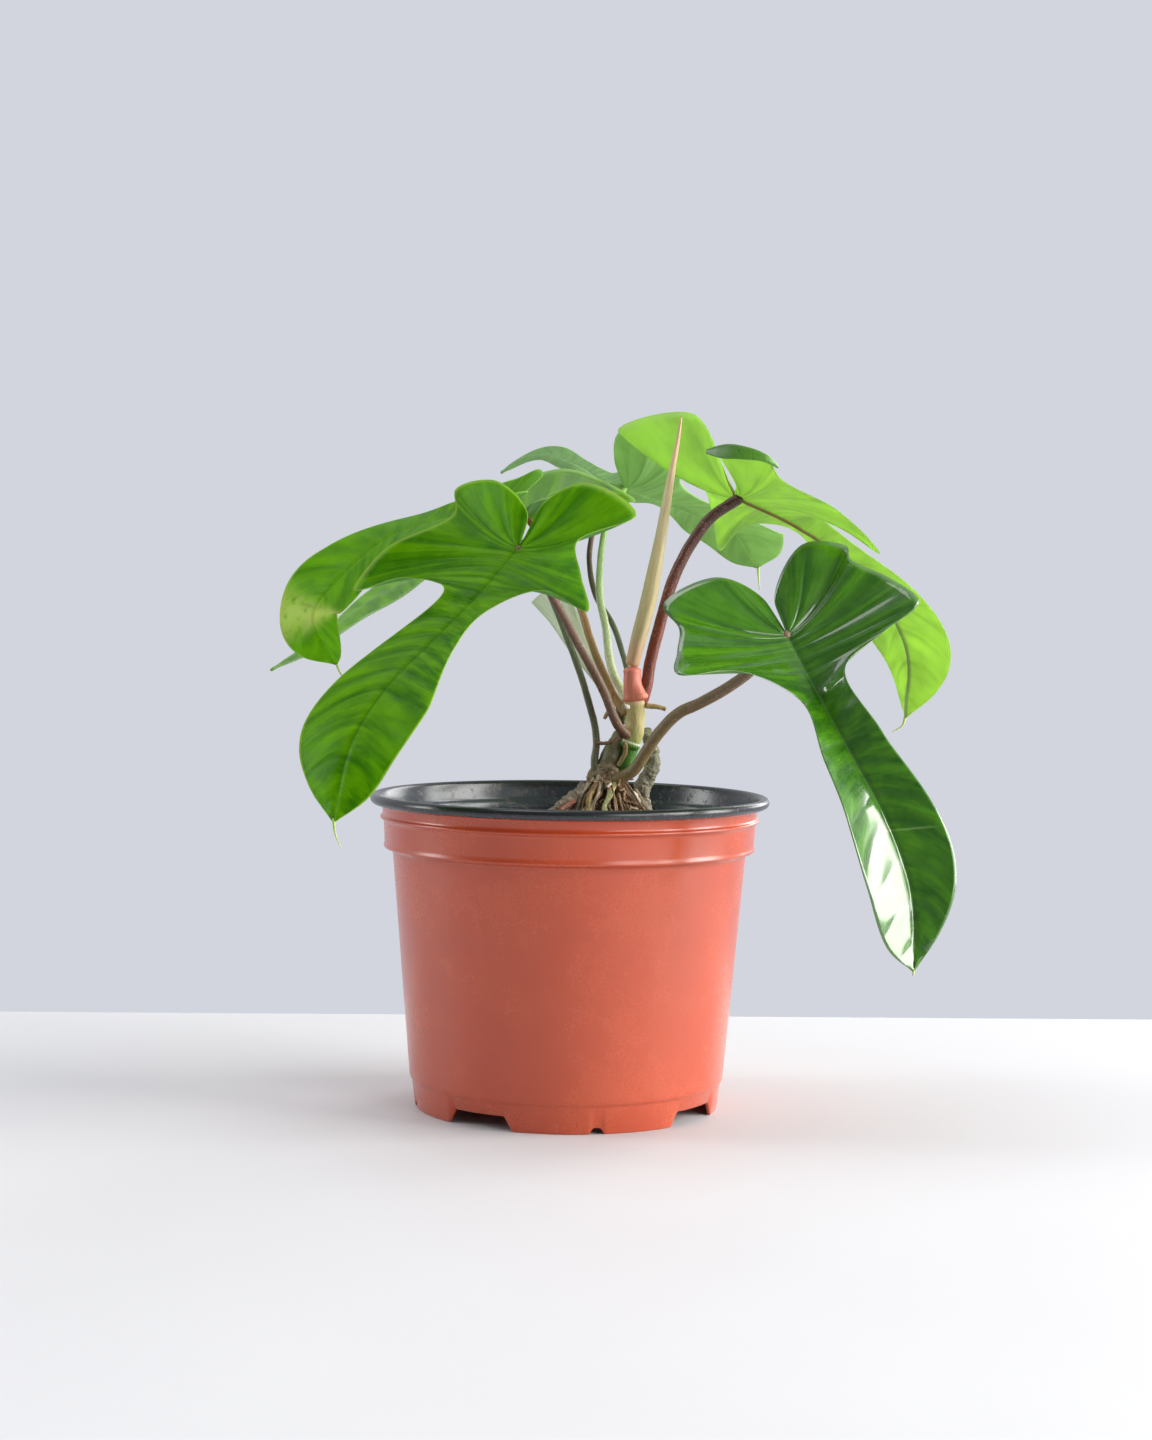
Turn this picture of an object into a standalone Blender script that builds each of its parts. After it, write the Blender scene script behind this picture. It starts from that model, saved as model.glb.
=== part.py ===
"""Potted philodendron: a two-tone nursery pot with soil, a short stem with its roots, and seven
lobed leaves on long stalks.  Sizes below are millimetres; the scene is in metres, +Z up.
The origin lies on the table under the middle of the whole plant, and POT_AXIS says where the
pot stands.  +Y points away from the side that is seen first, +X to its right."""
import math

import bmesh
import bpy
import numpy as np

MM = 0.001
GAP = 0.3                      # clearance left between neighbouring pieces

# Pot
POT_AXIS = (-8.8, -24.1)      # where the pot's axis stands
RIM_R = 65.0                   # outside of the rolled lip
POT_H = 101.8
FLOOR_Z = 9.2                  # underside of the raised floor
FOOT_R = 49.4                  # outside of the foot ring
WALL = 1.0
NOTCH_H, NOTCH_DEG = 4.6, 29.0  # the wide openings in the foot ring
NICK_H, NICK_W = 1.9, 5.5       # the small ones between them

# Soil
SOIL_DROP = 13.8               # from the lip down to its level at the wall
SOIL_Z = POT_H - SOIL_DROP
MOUND, MOUND_AT = 4.0, (14.0, 0.0)
LIFT = SOIL_Z - 88.0           # the plant's heights below are for soil at 88

# Plant
LEAF_SCALE = 1.0
LEAF_T = 0.9                   # blade thickness
STALK_SCALE = 1.0              # multiplies every stalk radius

# Where the vein to each outline station leaves the midrib, as a share of the blade's length.
STATIONS = ("notch", "sinus", "crown", "basal_tip", "bay", "shoulder", "lateral_tip",
            "underarm", "waist", "swell", "widest", "taper", "tip")
VEIN_ROOT = (0, .002, .005, .009, .02, .04, .09, .15, .22, .38, .62, .84, 1)

# One blade each.  spine: midrib from the stalk to the tip, from the pot's axis on the table.
# top: which way the upper side faces, at the stalk and at the tip.  left and right: the margin
# at the stations from sinus to taper, as (along the midrib, out from it, above its plane).
LEAVES = {
    "front_left": dict(
        spine=((-17, -18, 182), (-30, -28, 166), (-44, -39, 151), (-57, -50, 137),
               (-67, -60, 119), (-71, -65, 97)),
        top=((0, -.3, 1), (-.3, -.6, .7)),
        left=((-15, 2, 6), (-24, 13, 8), (-20, 36, 4), (-2, 27, 8), (8, 35, 5), (20, 47, 4),
              (18, 27, 6), (27, 11, 2), (47, 13, 3), (75, 21, 1), (103, 12, -1)),
        right=((-11, 4, 3), (-17, 20, 8), (-13, 38, 4), (-3, 31, 3), (18, 45, 3), (32, 52, -4),
               (26, 31, 2), (26, 11, 2), (55, 17, 0), (88, 22, -3), (103, 13, -2))),
    "left": dict(
        spine=((-25, 22, 196), (-43, 27, 192), (-61, 30, 186), (-76, 30, 174), (-87, 28, 158),
               (-79, 25, 142)),
        top=((0, -.2, 1), (-.7, -.6, .2)),
        left=((-8, 2, 2), (-13, 7, 3), (-10, 12, 4), (-3, 10, 3), (4, 11, 1), (12, 13, 0),
              (15, 12, 0), (22, 10, 0), (42, 12, 0), (73, 16, 1), (94, 6, 2)),
        right=((-8, 2, 2), (-14, 10, 6), (-10, 20, 8), (-3, 18, 6), (4, 20, 5), (12, 21, 4),
               (14, 15, 3), (19, 11, 2), (36, 13, 0), (72, 18, 3), (85, 11, 2))),
    "far_left": dict(
        spine=((-15, 40, 193), (-34, 51, 183), (-53, 61, 173), (-72, 71, 163), (-90, 79, 150),
               (-109, 87, 138)),
        top=((0, 0, 1), (0, 0, 1)),
        left=((-8, 2, 0), (-14, 8, 0), (-10, 14, 0), (-4, 12, 0), (4, 12, 0), (14, 13, -2),
              (18, 12, -2), (26, 9, -2), (41, 9, -4), (65, 10, -7), (93, 8, -5)),
        right=((-6, 1, 3), (-13, 6, 5), (-29, 21, -6), (-17, 28, 7), (-3, 30, 18), (18, 33, 23),
               (18, 26, 17), (30, 10, 8), (54, 12, 8), (89, 18, 8), (110, 11, 4))),
    "rear": dict(
        spine=((11, 80, 206), (5, 90, 211), (-2, 100, 215), (-10, 109, 218), (-19, 117, 217),
               (-28, 124, 212)),
        top=((0, .1, 1), (-.3, .3, 1)),
        left=((-5, 1, 0), (-9, 6, 0), (-7, 13, 0), (-2, 12, 0), (3, 14, 0), (11, 16, 0),
              (11, 11, 0), (15, 5, 0), (21, 4, -2), (37, 4, -2), (52, 4, -3)),
        right=((-4, 1, 1), (-6, 4, 2), (-5, 7, 2), (-1, 7, 2), (4, 9, 2), (11, 11, 2),
               (12, 9, 1), (16, 6, 1), (27, 7, 2), (48, 7, 4), (59, 4, 3))),
    "rear_right": dict(
        spine=((17, 62, 205), (27, 77, 202), (37, 92, 200), (49, 105, 196), (61, 118, 191),
               (69, 124, 178)),
        top=((0, .1, 1), (.6, .6, .5)),
        left=((-4, 1, 0), (-6, 3, 0), (-5, 6, 0), (-1, 6, 0), (5, 8, -1), (13, 10, -1),
              (16, 9, -1), (22, 8, -1), (41, 9, -1), (68, 13, -6), (82, 6, -6)),
        right=((-10, 2, 7), (-21, 11, 14), (-18, 22, 16), (-4, 23, 14), (1, 24, 11), (8, 23, 9),
               (12, 16, 6), (23, 11, 3), (40, 13, 1), (66, 25, -3), (85, 13, 2))),
    "top_right": dict(
        spine=((53, 5, 200), (72, 14, 192), (90, 23, 181), (105, 32, 167), (115, 39, 148),
               (115, 45, 126)),
        top=((0, .1, 1), (.8, .5, .3)),
        left=((-7, 1, 7), (-18, 10, 22), (-30, 39, 16), (-13, 32, 15), (1, 30, 9), (24, 45, -5),
              (20, 27, 1), (27, 11, 2), (48, 14, 0), (89, 16, -1), (106, 10, 4)),
        right=((-5, 7, 5), (-15, 23, 7), (-26, 33, 4), (-3, 31, 0), (14, 41, -5), (29, 50, -14),
               (22, 35, -7), (22, 13, 1), (43, 11, 1), (85, 23, -1), (100, 13, 1))),
    "front_right": dict(
        spine=((67, -30, 156), (76, -41, 138), (86, -52, 119), (96, -60, 100), (103, -66, 79),
               (104, -70, 55)),
        top=((0, -.9, .5), (0, -.9, .3)),
        left=((-13, 2, 0), (-25, 17, 4), (-20, 30, 3), (-13, 28, 7), (-1, 36, 8), (12, 39, 11),
              (15, 26, 7), (23, 9, 8), (46, 11, 4), (87, 15, 3), (105, 8, 1)),
        right=((-14, 2, 1), (-24, 13, 5), (-19, 34, 9), (-9, 33, 10), (1, 38, 14), (13, 43, 24),
               (16, 24, 15), (28, 8, 5), (49, 11, 12), (88, 15, 12), (110, 9, 6)), cup=1.3),
}

# Stalks from the stem to just under each blade: points, then radius at the stem and the blade.
STALKS = {
    "front_left": (((16.2, -4.6, 123.4), (10.3, -6.7, 136), (1.4, -10.3, 152), (-6.5, -13, 166)),
                   1.6, 1.2),
    "left": (((8, 0, 110.6), (8.4, 1.8, 119), (4.4, 3.6, 136), (-1.4, 6, 152), (-9.6, 9, 171),
              (-17.5, 14, 184)), 1.2, 1.0),
    "far_left": (((14.6, 2.2, 132.8), (12, 3.6, 138), (6, 8.6, 152), (2.9, 12.5, 161.5),
                  (-5.6, 25, 178)), 1.4, 1.1),
    "rear": (((20.5, 7.5, 134), (17, 18, 147), (13.5, 27, 157), (8, 36, 166), (5.4, 47, 178),
              (6.6, 60, 190)), 1.0, 0.9),
    "rear_right": (((17.3, 6.6, 133.8), (13.7, 10, 141), (10.9, 21, 157), (9, 28, 166),
                    (9, 36, 177), (11, 48, 191)), 1.5, 0.9),
    "top_right": (((25.7, 0, 133.6), (26.5, 1, 146), (28.9, 2.1, 159), (32.6, 3.2, 172),
                   (38.2, 4.3, 183.6), (45.2, 5, 193)), 2.0, 1.8),
    "front_right": (((16.6, -3.6, 107.6), (20.2, -5, 110), (24.5, -7.3, 116.6),
                     (28.9, -10, 123.3), (34.5, -12.9, 129.3), (41.3, -15.6, 132.8),
                     (53.3, -20.7, 140.5)), 2.0, 1.7),
}

# Stem, roots and the rest: points, then the radius at each point.
STEMS = {
    "stem_lower": (((14.4, 1, 118), (13.1, 1.4, 114.5), (11.6, 1.8, 110.8)), (2.3, 2.5, 2.7)),
    "stem_green": (((19.9, .5, 117), (18.8, .8, 113.6), (17.7, 1, 110)), (2.5, 2.1, 1.3)),
    "stem_upper": (((19.6, 0, 119.8), (20.6, 0, 123), (20.9, 0, 127), (20.7, 0, 130.8)),
                   (3.4, 3.3, 3.0, 3.1)),
    "stem_node": (((16.8, 5.2, 125), (16.6, 5, 128.5), (16.6, 4.8, 131.6)), (1.2, 2.0, 2.4)),
    "old_stub": (((25, 12, 122.5), (27, 12, 114), (26.4, 12, 108.5), (24, 12, 103.5),
                  (24.6, 12, 92.8)), (1.6, 2.4, 2.6, 2.2, 2.8)),
    "sheath": (((20.3, -1, 133.5), (19.8, -1, 137), (19.6, -1, 142.4)), (3.1, 3.0, 2.7)),
    "spear": (((19.8, -1, 144.8), (21.4, -1, 152), (24, -1, 162.5), (28.5, -1, 187),
               (31.4, -1, 206), (33.6, -1, 219), (34.3, -1, 224.5)),
              (2.3, 2.6, 2.5, 1.9, 1.5, .9, .3)),
    "aerial_root_right": (((24.6, -1, 130.9), (27.6, -1.2, 130.8), (30.6, -1, 130.1)),
                          (.9, .75, .7)),
    "aerial_root_front": (((18.4, -4.3, 130.6), (17, -5.6, 130.9)), (.9, .8)),
    "aerial_root_rear": (((13.2, 5.4, 130), (11.8, 6, 128), (11, 6.4, 126.4)), (.8, .7, .6)),
    "aerial_root_brown": (((15.4, -3.9, 120.8), (13.2, -3.8, 119.2), (8.8, -1.2, 118.6)),
                          (.7, .65, .6)),
    "aerial_root_yellow": (((17.6, -4, 119), (17.8, -3.9, 116), (15.6, -3.9, 111.6)),
                           (.7, .75, .6)),
    "root_thick": (((4.2, -4.4, 104.6), (2, -6, 101.8), (-1, -8.2, 99.8), (-6, -12, 96.6),
                    (-10, -14.5, 92)), (1.9, 2.0, 1.7, 1.5, 1.2)),
    "root_red": (((1.2, -10.6, 100.4), (-2.6, -14, 98), (-5, -17.4, 93)), (.7, .8, .6)),
    "root_ochre": (((7.6, -6.4, 104.4), (6.6, -9, 101), (5.2, -12.5, 97), (4.4, -15, 92.6)),
                   (1.3, 1.0, .9, .8)),
    "root_pale": (((13.6, -6.6, 104.6), (12.4, -9.4, 101), (11.6, -12.6, 97), (11, -15, 92.4)),
                  (1.1, 1.2, 1.0, .9)),
    "root_curl": (((17.6, -5.8, 103.4), (17.6, -7.6, 100.4), (20.6, -8, 99.7), (24, -9, 97.6)),
                  (.6, .5, .45, .4)),
    "rootlet": (((15.6, -7.4, 102.6), (16.4, -9.6, 99.4), (17.4, -12, 96), (17.6, -13.6, 92.4)),
                (.5, .5, .45, .4)),
    "root_rear": (((21.2, 4.2, 103), (23.4, 4.4, 99), (26.4, 3, 95), (29, 2, 91)),
                  (1.0, .9, .9, .8)),
    "root_white": (((18.6, -2.4, 103.6), (20.4, -3.8, 102.2), (22.4, -4.2, 99.8)),
                   (1.0, 1.1, .8)),
}
CROWN = ((10.6, 1.4, 108), (10.8, 1.2, 105), (11.4, .8, 101.5), (12.2, .6, 98), (12.4, .6, 95.6))
CROWN_R = (2.6, 5.0, 5.9, 6.8, 7.6)
STRAP = ((-9.1, 16, 166), (-4.1, 15.6, 161), (2.2, 14.6, 150.3), (8, 13, 141.5), (13, 10.8, 134))
STRAP_HALF_WIDTH = (4.6, 4.6, 3.8, 2.9, 2.0)

COLOURS = {
    "pot": ((.45, .09, .04), .38), "soil": ((.05, .035, .025), .95),
    "leaf": ((.09, .27, .03), .35), "leaf_dark": ((.03, .14, .04), .25),
    "leaf_bright": ((.2, .5, .05), .4), "stalk_brown": ((.17, .09, .06), .5),
    "stalk_red": ((.13, .03, .03), .45), "stalk_green": ((.1, .2, .05), .5),
    "stalk_pale": ((.45, .62, .28), .45), "stem": ((.28, .27, .12), .6),
    "spear": ((.62, .53, .3), .45), "sheath": ((.72, .2, .13), .5),
    "root": ((.3, .22, .13), .8), "strap": ((.75, .8, .68), .5),
}


def smooth(x, xs, ys):
    """A smooth curve through the points (xs, ys), as a cubic on each stretch."""
    xs, ys = np.asarray(xs, float), np.asarray(ys, float)
    slope = np.gradient(ys, xs)
    i = np.clip(np.searchsorted(xs, x, side="right") - 1, 0, len(xs) - 2)
    h = xs[i + 1] - xs[i]
    t = (x - xs[i]) / h
    return ((1 + 2 * t) * (1 - t) ** 2 * ys[i] + t * (1 - t) ** 2 * h * slope[i]
            + t * t * (3 - 2 * t) * ys[i + 1] + t * t * (t - 1) * h * slope[i + 1])


def through(points, count, power=1.0):
    """count places evenly spaced on a smooth curve through the points."""
    points = np.asarray(points, float)
    chord = np.linalg.norm(np.diff(points, axis=0), axis=1) ** power
    at = np.r_[0, np.cumsum(chord)]
    return np.stack([smooth(np.linspace(0, at[-1], count), at, c) for c in points.T], -1)


def unit(v):
    return v / np.linalg.norm(v, axis=-1, keepdims=True)


def material(name, kind):
    colour, roughness = COLOURS[kind]
    made = bpy.data.materials.new(name)
    made.use_nodes = True
    shader = made.node_tree.nodes["Principled BSDF"]
    shader.inputs["Base Color"].default_value = (*colour, 1)
    shader.inputs["Roughness"].default_value = roughness
    return made


def add_object(name, points, faces, kind, lift=0.0):
    """A closed mesh from points in millimetres about the pot's axis."""
    mesh = bpy.data.meshes.new(name)
    moved = (np.asarray(points, float) + (*POT_AXIS, lift)) * MM
    mesh.from_pydata(moved.tolist(), [], faces)
    work = bmesh.new()
    work.from_mesh(mesh)
    bmesh.ops.recalc_face_normals(work, faces=work.faces)
    work.to_mesh(mesh)
    work.free()
    obj = bpy.data.objects.new(name, mesh)
    bpy.context.collection.objects.link(obj)
    mesh.materials.append(material(name, kind))
    return obj


def rings_to_faces(rings, sides):
    """Quads between successive closed rings of points."""
    return [(i * sides + k, i * sides + (k + 1) % sides,
             (i + 1) * sides + (k + 1) % sides, (i + 1) * sides + k)
            for i in range(rings - 1) for k in range(sides)]


def tube(name, points, radii, kind, rings=10, sides=10, flat=None):
    """A rod along a smooth curve with rounded ends; flat gives the half-thickness of a strap."""
    line = through(points, rings)
    radius = smooth(np.linspace(0, 1, rings), np.linspace(0, 1, len(radii)), radii)
    along = unit(np.gradient(line, axis=0))
    across = unit(np.cross(along, (.12, -1, .2)))
    other = np.cross(across, along)
    thick = radius if flat is None else np.full(rings, flat)
    # One smaller ring beyond each end rounds it off.
    line = np.vstack([line[:1] - along[:1] * thick[0] * .35, line,
                      line[-1:] + along[-1:] * thick[-1] * .35])
    across = np.vstack([across[:1], across, across[-1:]])
    other = np.vstack([other[:1], other, other[-1:]])
    radius = np.r_[radius[0] * .6, radius, radius[-1] * .6]
    thick = np.r_[thick[0] * .6, thick, thick[-1] * .6]
    turn = np.linspace(0, 2 * math.pi, sides, endpoint=False)
    shell = (line[:, None] + across[:, None] * (radius[:, None] * np.cos(turn))[..., None]
             + other[:, None] * (thick[:, None] * np.sin(turn))[..., None])
    faces = rings_to_faces(len(line), sides)
    faces += [tuple(range(sides)), tuple(range((len(line) - 1) * sides, len(line) * sides))]
    return add_object(name, shell.reshape(-1, 3), faces, kind, LIFT)


def revolve(profile, steps):
    """Points and faces of a closed profile (radius, height) turned about the pot's axis."""
    turn = np.linspace(0, 2 * math.pi, steps, endpoint=False)
    points, start = [], []
    for r, z in profile:
        start.append(len(points))
        points += [(0, 0, z)] if r == 0 else [(r * math.cos(a), r * math.sin(a), z) for a in turn]
    faces = []
    for i, (r, _) in enumerate(profile):
        j = (i + 1) % len(profile)
        a, b, pole_a, pole_b = start[i], start[j], r == 0, profile[j][0] == 0
        if pole_a and pole_b:
            continue
        for k in range(steps):
            n = (k + 1) % steps
            face = (a, b + n, b + k) if pole_a else (a + k, a + n, b) if pole_b else \
                (a + k, a + n, b + n, b + k)
            faces.append(face)
    return np.array(points), faces


class Spine:
    """A blade's midrib, with the direction along it, to its right and out of its upper side."""

    def __init__(self, points, top):
        line = through(points, 160)
        gone = np.r_[0, np.cumsum(np.linalg.norm(np.diff(line, axis=0), axis=1))]
        self.length = gone[-1]
        back = np.arange(-60, 0, 2.0)
        self.at = np.r_[back, gone]
        self.line = np.vstack([line[0] + unit(line[2] - line[0]) * back[:, None], line])
        along = unit(np.gradient(self.line, self.at, axis=0))
        share = np.clip(self.at / self.length, 0, 1)[:, None]
        share = share * share * (3 - 2 * share)
        first, last = unit(np.array(top, float))
        self.side = unit(np.cross(along, first * (1 - share) + last * share))
        self.up = np.cross(self.side, along)

    def frame(self, u):
        def pick(values):
            return np.stack([np.interp(u, self.at, c) for c in values.T], -1)
        return pick(self.line), unit(pick(self.side)), unit(pick(self.up))


def half_blade(spine, margin, side, rows, columns, cup):
    """One half of a blade.  Each row follows a vein: it leaves the midrib square and sweeps
    to its place on the margin, rising with the power cup of the way it has gone."""
    outline = np.array([(-1, .6, 0), *margin, (spine.length / LEAF_SCALE, 0, 0)]) * LEAF_SCALE
    chord = np.r_[0, np.cumsum(np.linalg.norm(np.diff(outline, axis=0), axis=1) ** .6)]
    station = np.linspace(0, len(STATIONS) - 1, rows)
    at = np.interp(station, range(len(STATIONS)), chord)
    edge = np.stack([smooth(at, chord, c) for c in outline.T], -1)
    root = np.interp(station, range(len(STATIONS)), VEIN_ROOT) * spine.length
    t = np.linspace(0, 1, columns)[None, :]
    along = root[:, None] + (edge[:, :1] - root[:, None]) * t ** 1.5
    line, across, up = spine.frame(along)
    out, above = edge[:, 1:2] * t * side, edge[:, 2:] * t ** cup
    return line + across * out[..., None] + up * above[..., None], up


def blade(name, leaf, kind, rows=29, columns=4):
    """Both halves as one closed sheet of LEAF_T, thinner at the margin, ending in one tip."""
    origin = np.array(leaf["spine"][0], float)
    spine = Spine(origin + (np.array(leaf["spine"], float) - origin) * LEAF_SCALE, leaf["top"])
    cup = leaf.get("cup", 2.0)
    left, up_left = half_blade(spine, leaf["left"], -1, rows, columns, cup)
    right, up_right = half_blade(spine, leaf["right"], 1, rows, columns, cup)
    middle = np.concatenate([left[:, :0:-1], right], axis=1)[:-1]
    up = np.concatenate([up_left[:, :0:-1], up_right], axis=1)[:-1]
    wide = middle.shape[1]
    thin = 1 - .45 * np.abs(np.linspace(-1, 1, wide)) ** 3
    offset = up * (LEAF_T / 2 * thin)[None, :, None]
    tip = right[-1, 0]
    tip_up = up_right[-1, 0] * LEAF_T * .3
    count = middle.shape[0] * wide
    points = np.vstack([(middle + offset).reshape(-1, 3), (middle - offset).reshape(-1, 3),
                        tip + tip_up, tip - tip_up])
    top_tip, low_tip = 2 * count, 2 * count + 1
    faces = []
    for i in range(middle.shape[0] - 1):
        for j in range(wide - 1):
            a, b, c, d = i * wide + j, i * wide + j + 1, (i + 1) * wide + j + 1, (i + 1) * wide + j
            faces += [(a, b, c, d), (count + a, count + d, count + c, count + b)]
        for j in (0, wide - 1):
            a, d = i * wide + j, (i + 1) * wide + j
            faces.append((a, d, count + d, count + a))
    last = (middle.shape[0] - 1) * wide
    for j in range(wide - 1):
        faces += [(j, j + 1, count + j + 1, count + j),
                  (last + j, last + j + 1, top_tip),
                  (count + last + j, count + last + j + 1, low_tip)]
    for j in (0, wide - 1):
        faces.append((last + j, top_tip, low_tip, count + last + j))
    add_object(name, points, faces, kind, LIFT)
    return spine


def cutter(name, centre_deg, bottom, top, height):
    """A wedge across the foot ring, bottom and top wide, that leaves its opening."""
    turn = math.radians(centre_deg)
    out = np.array((math.cos(turn), math.sin(turn), 0))
    side = np.array((-math.sin(turn), math.cos(turn), 0))
    points = [out * r + side * w / 2 * s + np.array((0, 0, z))
              for r in (FOOT_R - 14, FOOT_R + 6)
              for s, z, w in ((-1, -2, bottom), (1, -2, bottom), (1, height, top), (-1, height, top))]
    faces = [(0, 1, 2, 3), (4, 7, 6, 5), (0, 4, 5, 1), (1, 5, 6, 2), (2, 6, 7, 3), (3, 7, 4, 0)]
    made = add_object(name, points, faces, "pot")
    made.hide_render = True
    made.display_type = "WIRE"
    return made


def from_rim(inset, drop):
    """A profile point so far in from the lip's outside and down from its top."""
    return RIM_R - inset, POT_H - drop


def make_pot():
    """The profile runs up the outside, over the lip and down the inside to the floor."""
    outer = [(FOOT_R, 0), (FOOT_R + 1.1, FLOOR_Z - .6), (FOOT_R + 1.7, FLOOR_Z + .1),
             (FOOT_R + 1.9, FLOOR_Z + 1), from_rim(7.4, 18.4), from_rim(6.6, 17.6),
             from_rim(5.1, 17.2), from_rim(4.8, 15.8), from_rim(4.4, 8.2), from_rim(3.4, 7.4),
             from_rim(3.3, 6.4), from_rim(3.1, 3.6), from_rim(1.6, 3.2)]
    lip = [from_rim(1.65 - 1.65 * math.cos(a), 1.65 - 1.65 * math.sin(a))
           for a in np.radians((-60, -25, 10, 45, 80, 115, 150))]
    inner = [from_rim(inset + WALL, drop) for inset, drop in
             ((3.1, 3.6), (3.6, 6.4), (4.4, 7.6), (4.8, 15.6), (5.3, 16.6), (7.3, 17.8))]
    floor = [(FOOT_R + 1.8 - WALL, FLOOR_Z + WALL + .6), (FOOT_R + 1 - WALL, FLOOR_Z + WALL),
             (0, FLOOR_Z + WALL), (0, FLOOR_Z), (FOOT_R - .6, FLOOR_Z), (FOOT_R - WALL, 0)]
    points, faces = revolve(outer + lip + inner + floor, 60)
    pot = add_object("pot", points, faces, "pot")
    notch = 2 * FOOT_R * math.sin(math.radians(NOTCH_DEG / 2))
    for n in range(4):
        base = -123.5 + 90 * n
        for label, turn, bottom, top, height in (
                ("notch", base, notch + 2, notch - 6, NOTCH_H),
                ("nick", base + 45, NICK_W + 1.5, NICK_W - 3, NICK_H)):
            cut = pot.modifiers.new(f"{label}_{n}", "BOOLEAN")
            cut.object = cutter(f"{label}_cutter_{n}", turn, bottom, top, height)
            cut.solver = "EXACT"
    return pot


def make_soil():
    """Fills the pot to SOIL_Z, clear of its wall, with crumbs and a low mound at the stem."""
    level_r = RIM_R - 7 - WALL
    profile = [(level_r * n / 9, SOIL_Z) for n in range(10)]
    profile += [from_rim(5.9 + WALL, SOIL_DROP + .4), from_rim(6.2 + WALL, 15.8),
                from_rim(6.6 + WALL, 16.6), from_rim(8.5 + WALL, 18.4),
                (FOOT_R + .6 - WALL, FLOOR_Z + WALL + 1.8),
                (FOOT_R + .2 - WALL, FLOOR_Z + WALL + GAP), (0, FLOOR_Z + WALL + GAP)]
    points, faces = revolve(profile, 36)
    x, y, z = points.T
    level = z == SOIL_Z
    away = (x - MOUND_AT[0]) ** 2 + (y - MOUND_AT[1]) ** 2
    crumbs = np.sin(x * .83 + 1.3 * np.sin(y * .41)) * np.cos(y * .77 + x * .19) * .7
    points[level, 2] += (MOUND * np.exp(-away / 320) + crumbs)[level]
    return add_object("potting_soil", points, faces, "soil")


def main():
    for obj in list(bpy.data.objects):
        bpy.data.objects.remove(obj)
    make_pot()
    make_soil()
    tones = dict(front_left="leaf", left="leaf", far_left="leaf", rear="leaf",
                 rear_right="leaf_bright", top_right="leaf_bright", front_right="leaf_dark")
    stalk_tones = dict(front_left="stalk_brown", left="stalk_green", far_left="stalk_brown",
                       rear="stalk_green", rear_right="stalk_pale", top_right="stalk_red",
                       front_right="stalk_brown")
    for name, leaf in LEAVES.items():
        spine = blade(f"leaf_{name}", leaf, tones[name])
        points, thick, slim = STALKS[name]
        start, _, up = spine.frame(np.array(0.0))
        slim = slim * STALK_SCALE
        end = start - up * (slim + LEAF_T / 2 + .9) + unit(spine.line[31] - spine.line[30]) * .6
        tube(f"stalk_{name}", (*points, end), (thick * STALK_SCALE, slim), stalk_tones[name],
             rings=11, sides=8)
    tones = dict(stem="stem", old="stem", sheath="sheath", spear="spear", aerial="root",
                 root="root", rootlet="root")
    for name, (points, radii) in STEMS.items():
        tube(name, points, radii, tones[name.split("_")[0]], rings=9 if len(points) > 3 else 6,
             sides=10 if max(radii) > 2 else 7)
    tube("root_crown", CROWN, CROWN_R, "root", rings=9, sides=14)
    tube("cataphyll", STRAP, STRAP_HALF_WIDTH, "strap", rings=12, sides=10, flat=.35)


main()
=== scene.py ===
"""Potted philodendron: the looks of a young split-leaf plant in a two-tone nursery pot.

Each piece is a surface worked out with numpy on a grid of two parameters, in millimetres about
the pot's axis, and stands where its CAD node stands.  Blades follow a midrib and its side
veins, stalks and roots are rods along smooth curves, and the pot is a turned profile."""
import math

import bmesh
import bpy
import numpy as np
from mathutils import Matrix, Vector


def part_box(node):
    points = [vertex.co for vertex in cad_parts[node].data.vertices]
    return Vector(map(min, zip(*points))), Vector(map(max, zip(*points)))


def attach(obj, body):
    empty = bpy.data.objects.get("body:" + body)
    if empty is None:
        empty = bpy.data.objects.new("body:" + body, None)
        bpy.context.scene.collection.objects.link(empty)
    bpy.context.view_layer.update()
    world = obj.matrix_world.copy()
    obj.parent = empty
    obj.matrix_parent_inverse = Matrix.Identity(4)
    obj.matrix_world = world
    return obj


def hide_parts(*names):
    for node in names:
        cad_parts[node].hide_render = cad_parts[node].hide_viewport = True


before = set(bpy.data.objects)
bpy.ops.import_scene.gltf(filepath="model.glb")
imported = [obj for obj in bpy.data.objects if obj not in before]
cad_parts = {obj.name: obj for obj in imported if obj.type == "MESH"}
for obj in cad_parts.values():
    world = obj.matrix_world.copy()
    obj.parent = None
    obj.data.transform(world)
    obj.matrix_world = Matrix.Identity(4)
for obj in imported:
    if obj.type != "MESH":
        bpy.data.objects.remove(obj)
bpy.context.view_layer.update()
MM = .001
POT_LO, POT_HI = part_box("pot")
AXIS = np.array(((POT_LO.x + POT_HI.x) / 2, (POT_LO.y + POT_HI.y) / 2, 0)) / MM
RIM_R = (POT_HI.x - POT_LO.x) / 2 / MM
POT_H = POT_HI.z / MM


# ---------------------------------------------------------------- shader maths

def two_way(kind, swapped=False):
    """A method that joins a socket and another value in a Math node of that kind."""
    def maths(self, other):
        pair = (other, self) if swapped else (self, other)
        return self.tree.add("Math", {"operation": kind}, dict(enumerate(pair)))
    return maths


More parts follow.
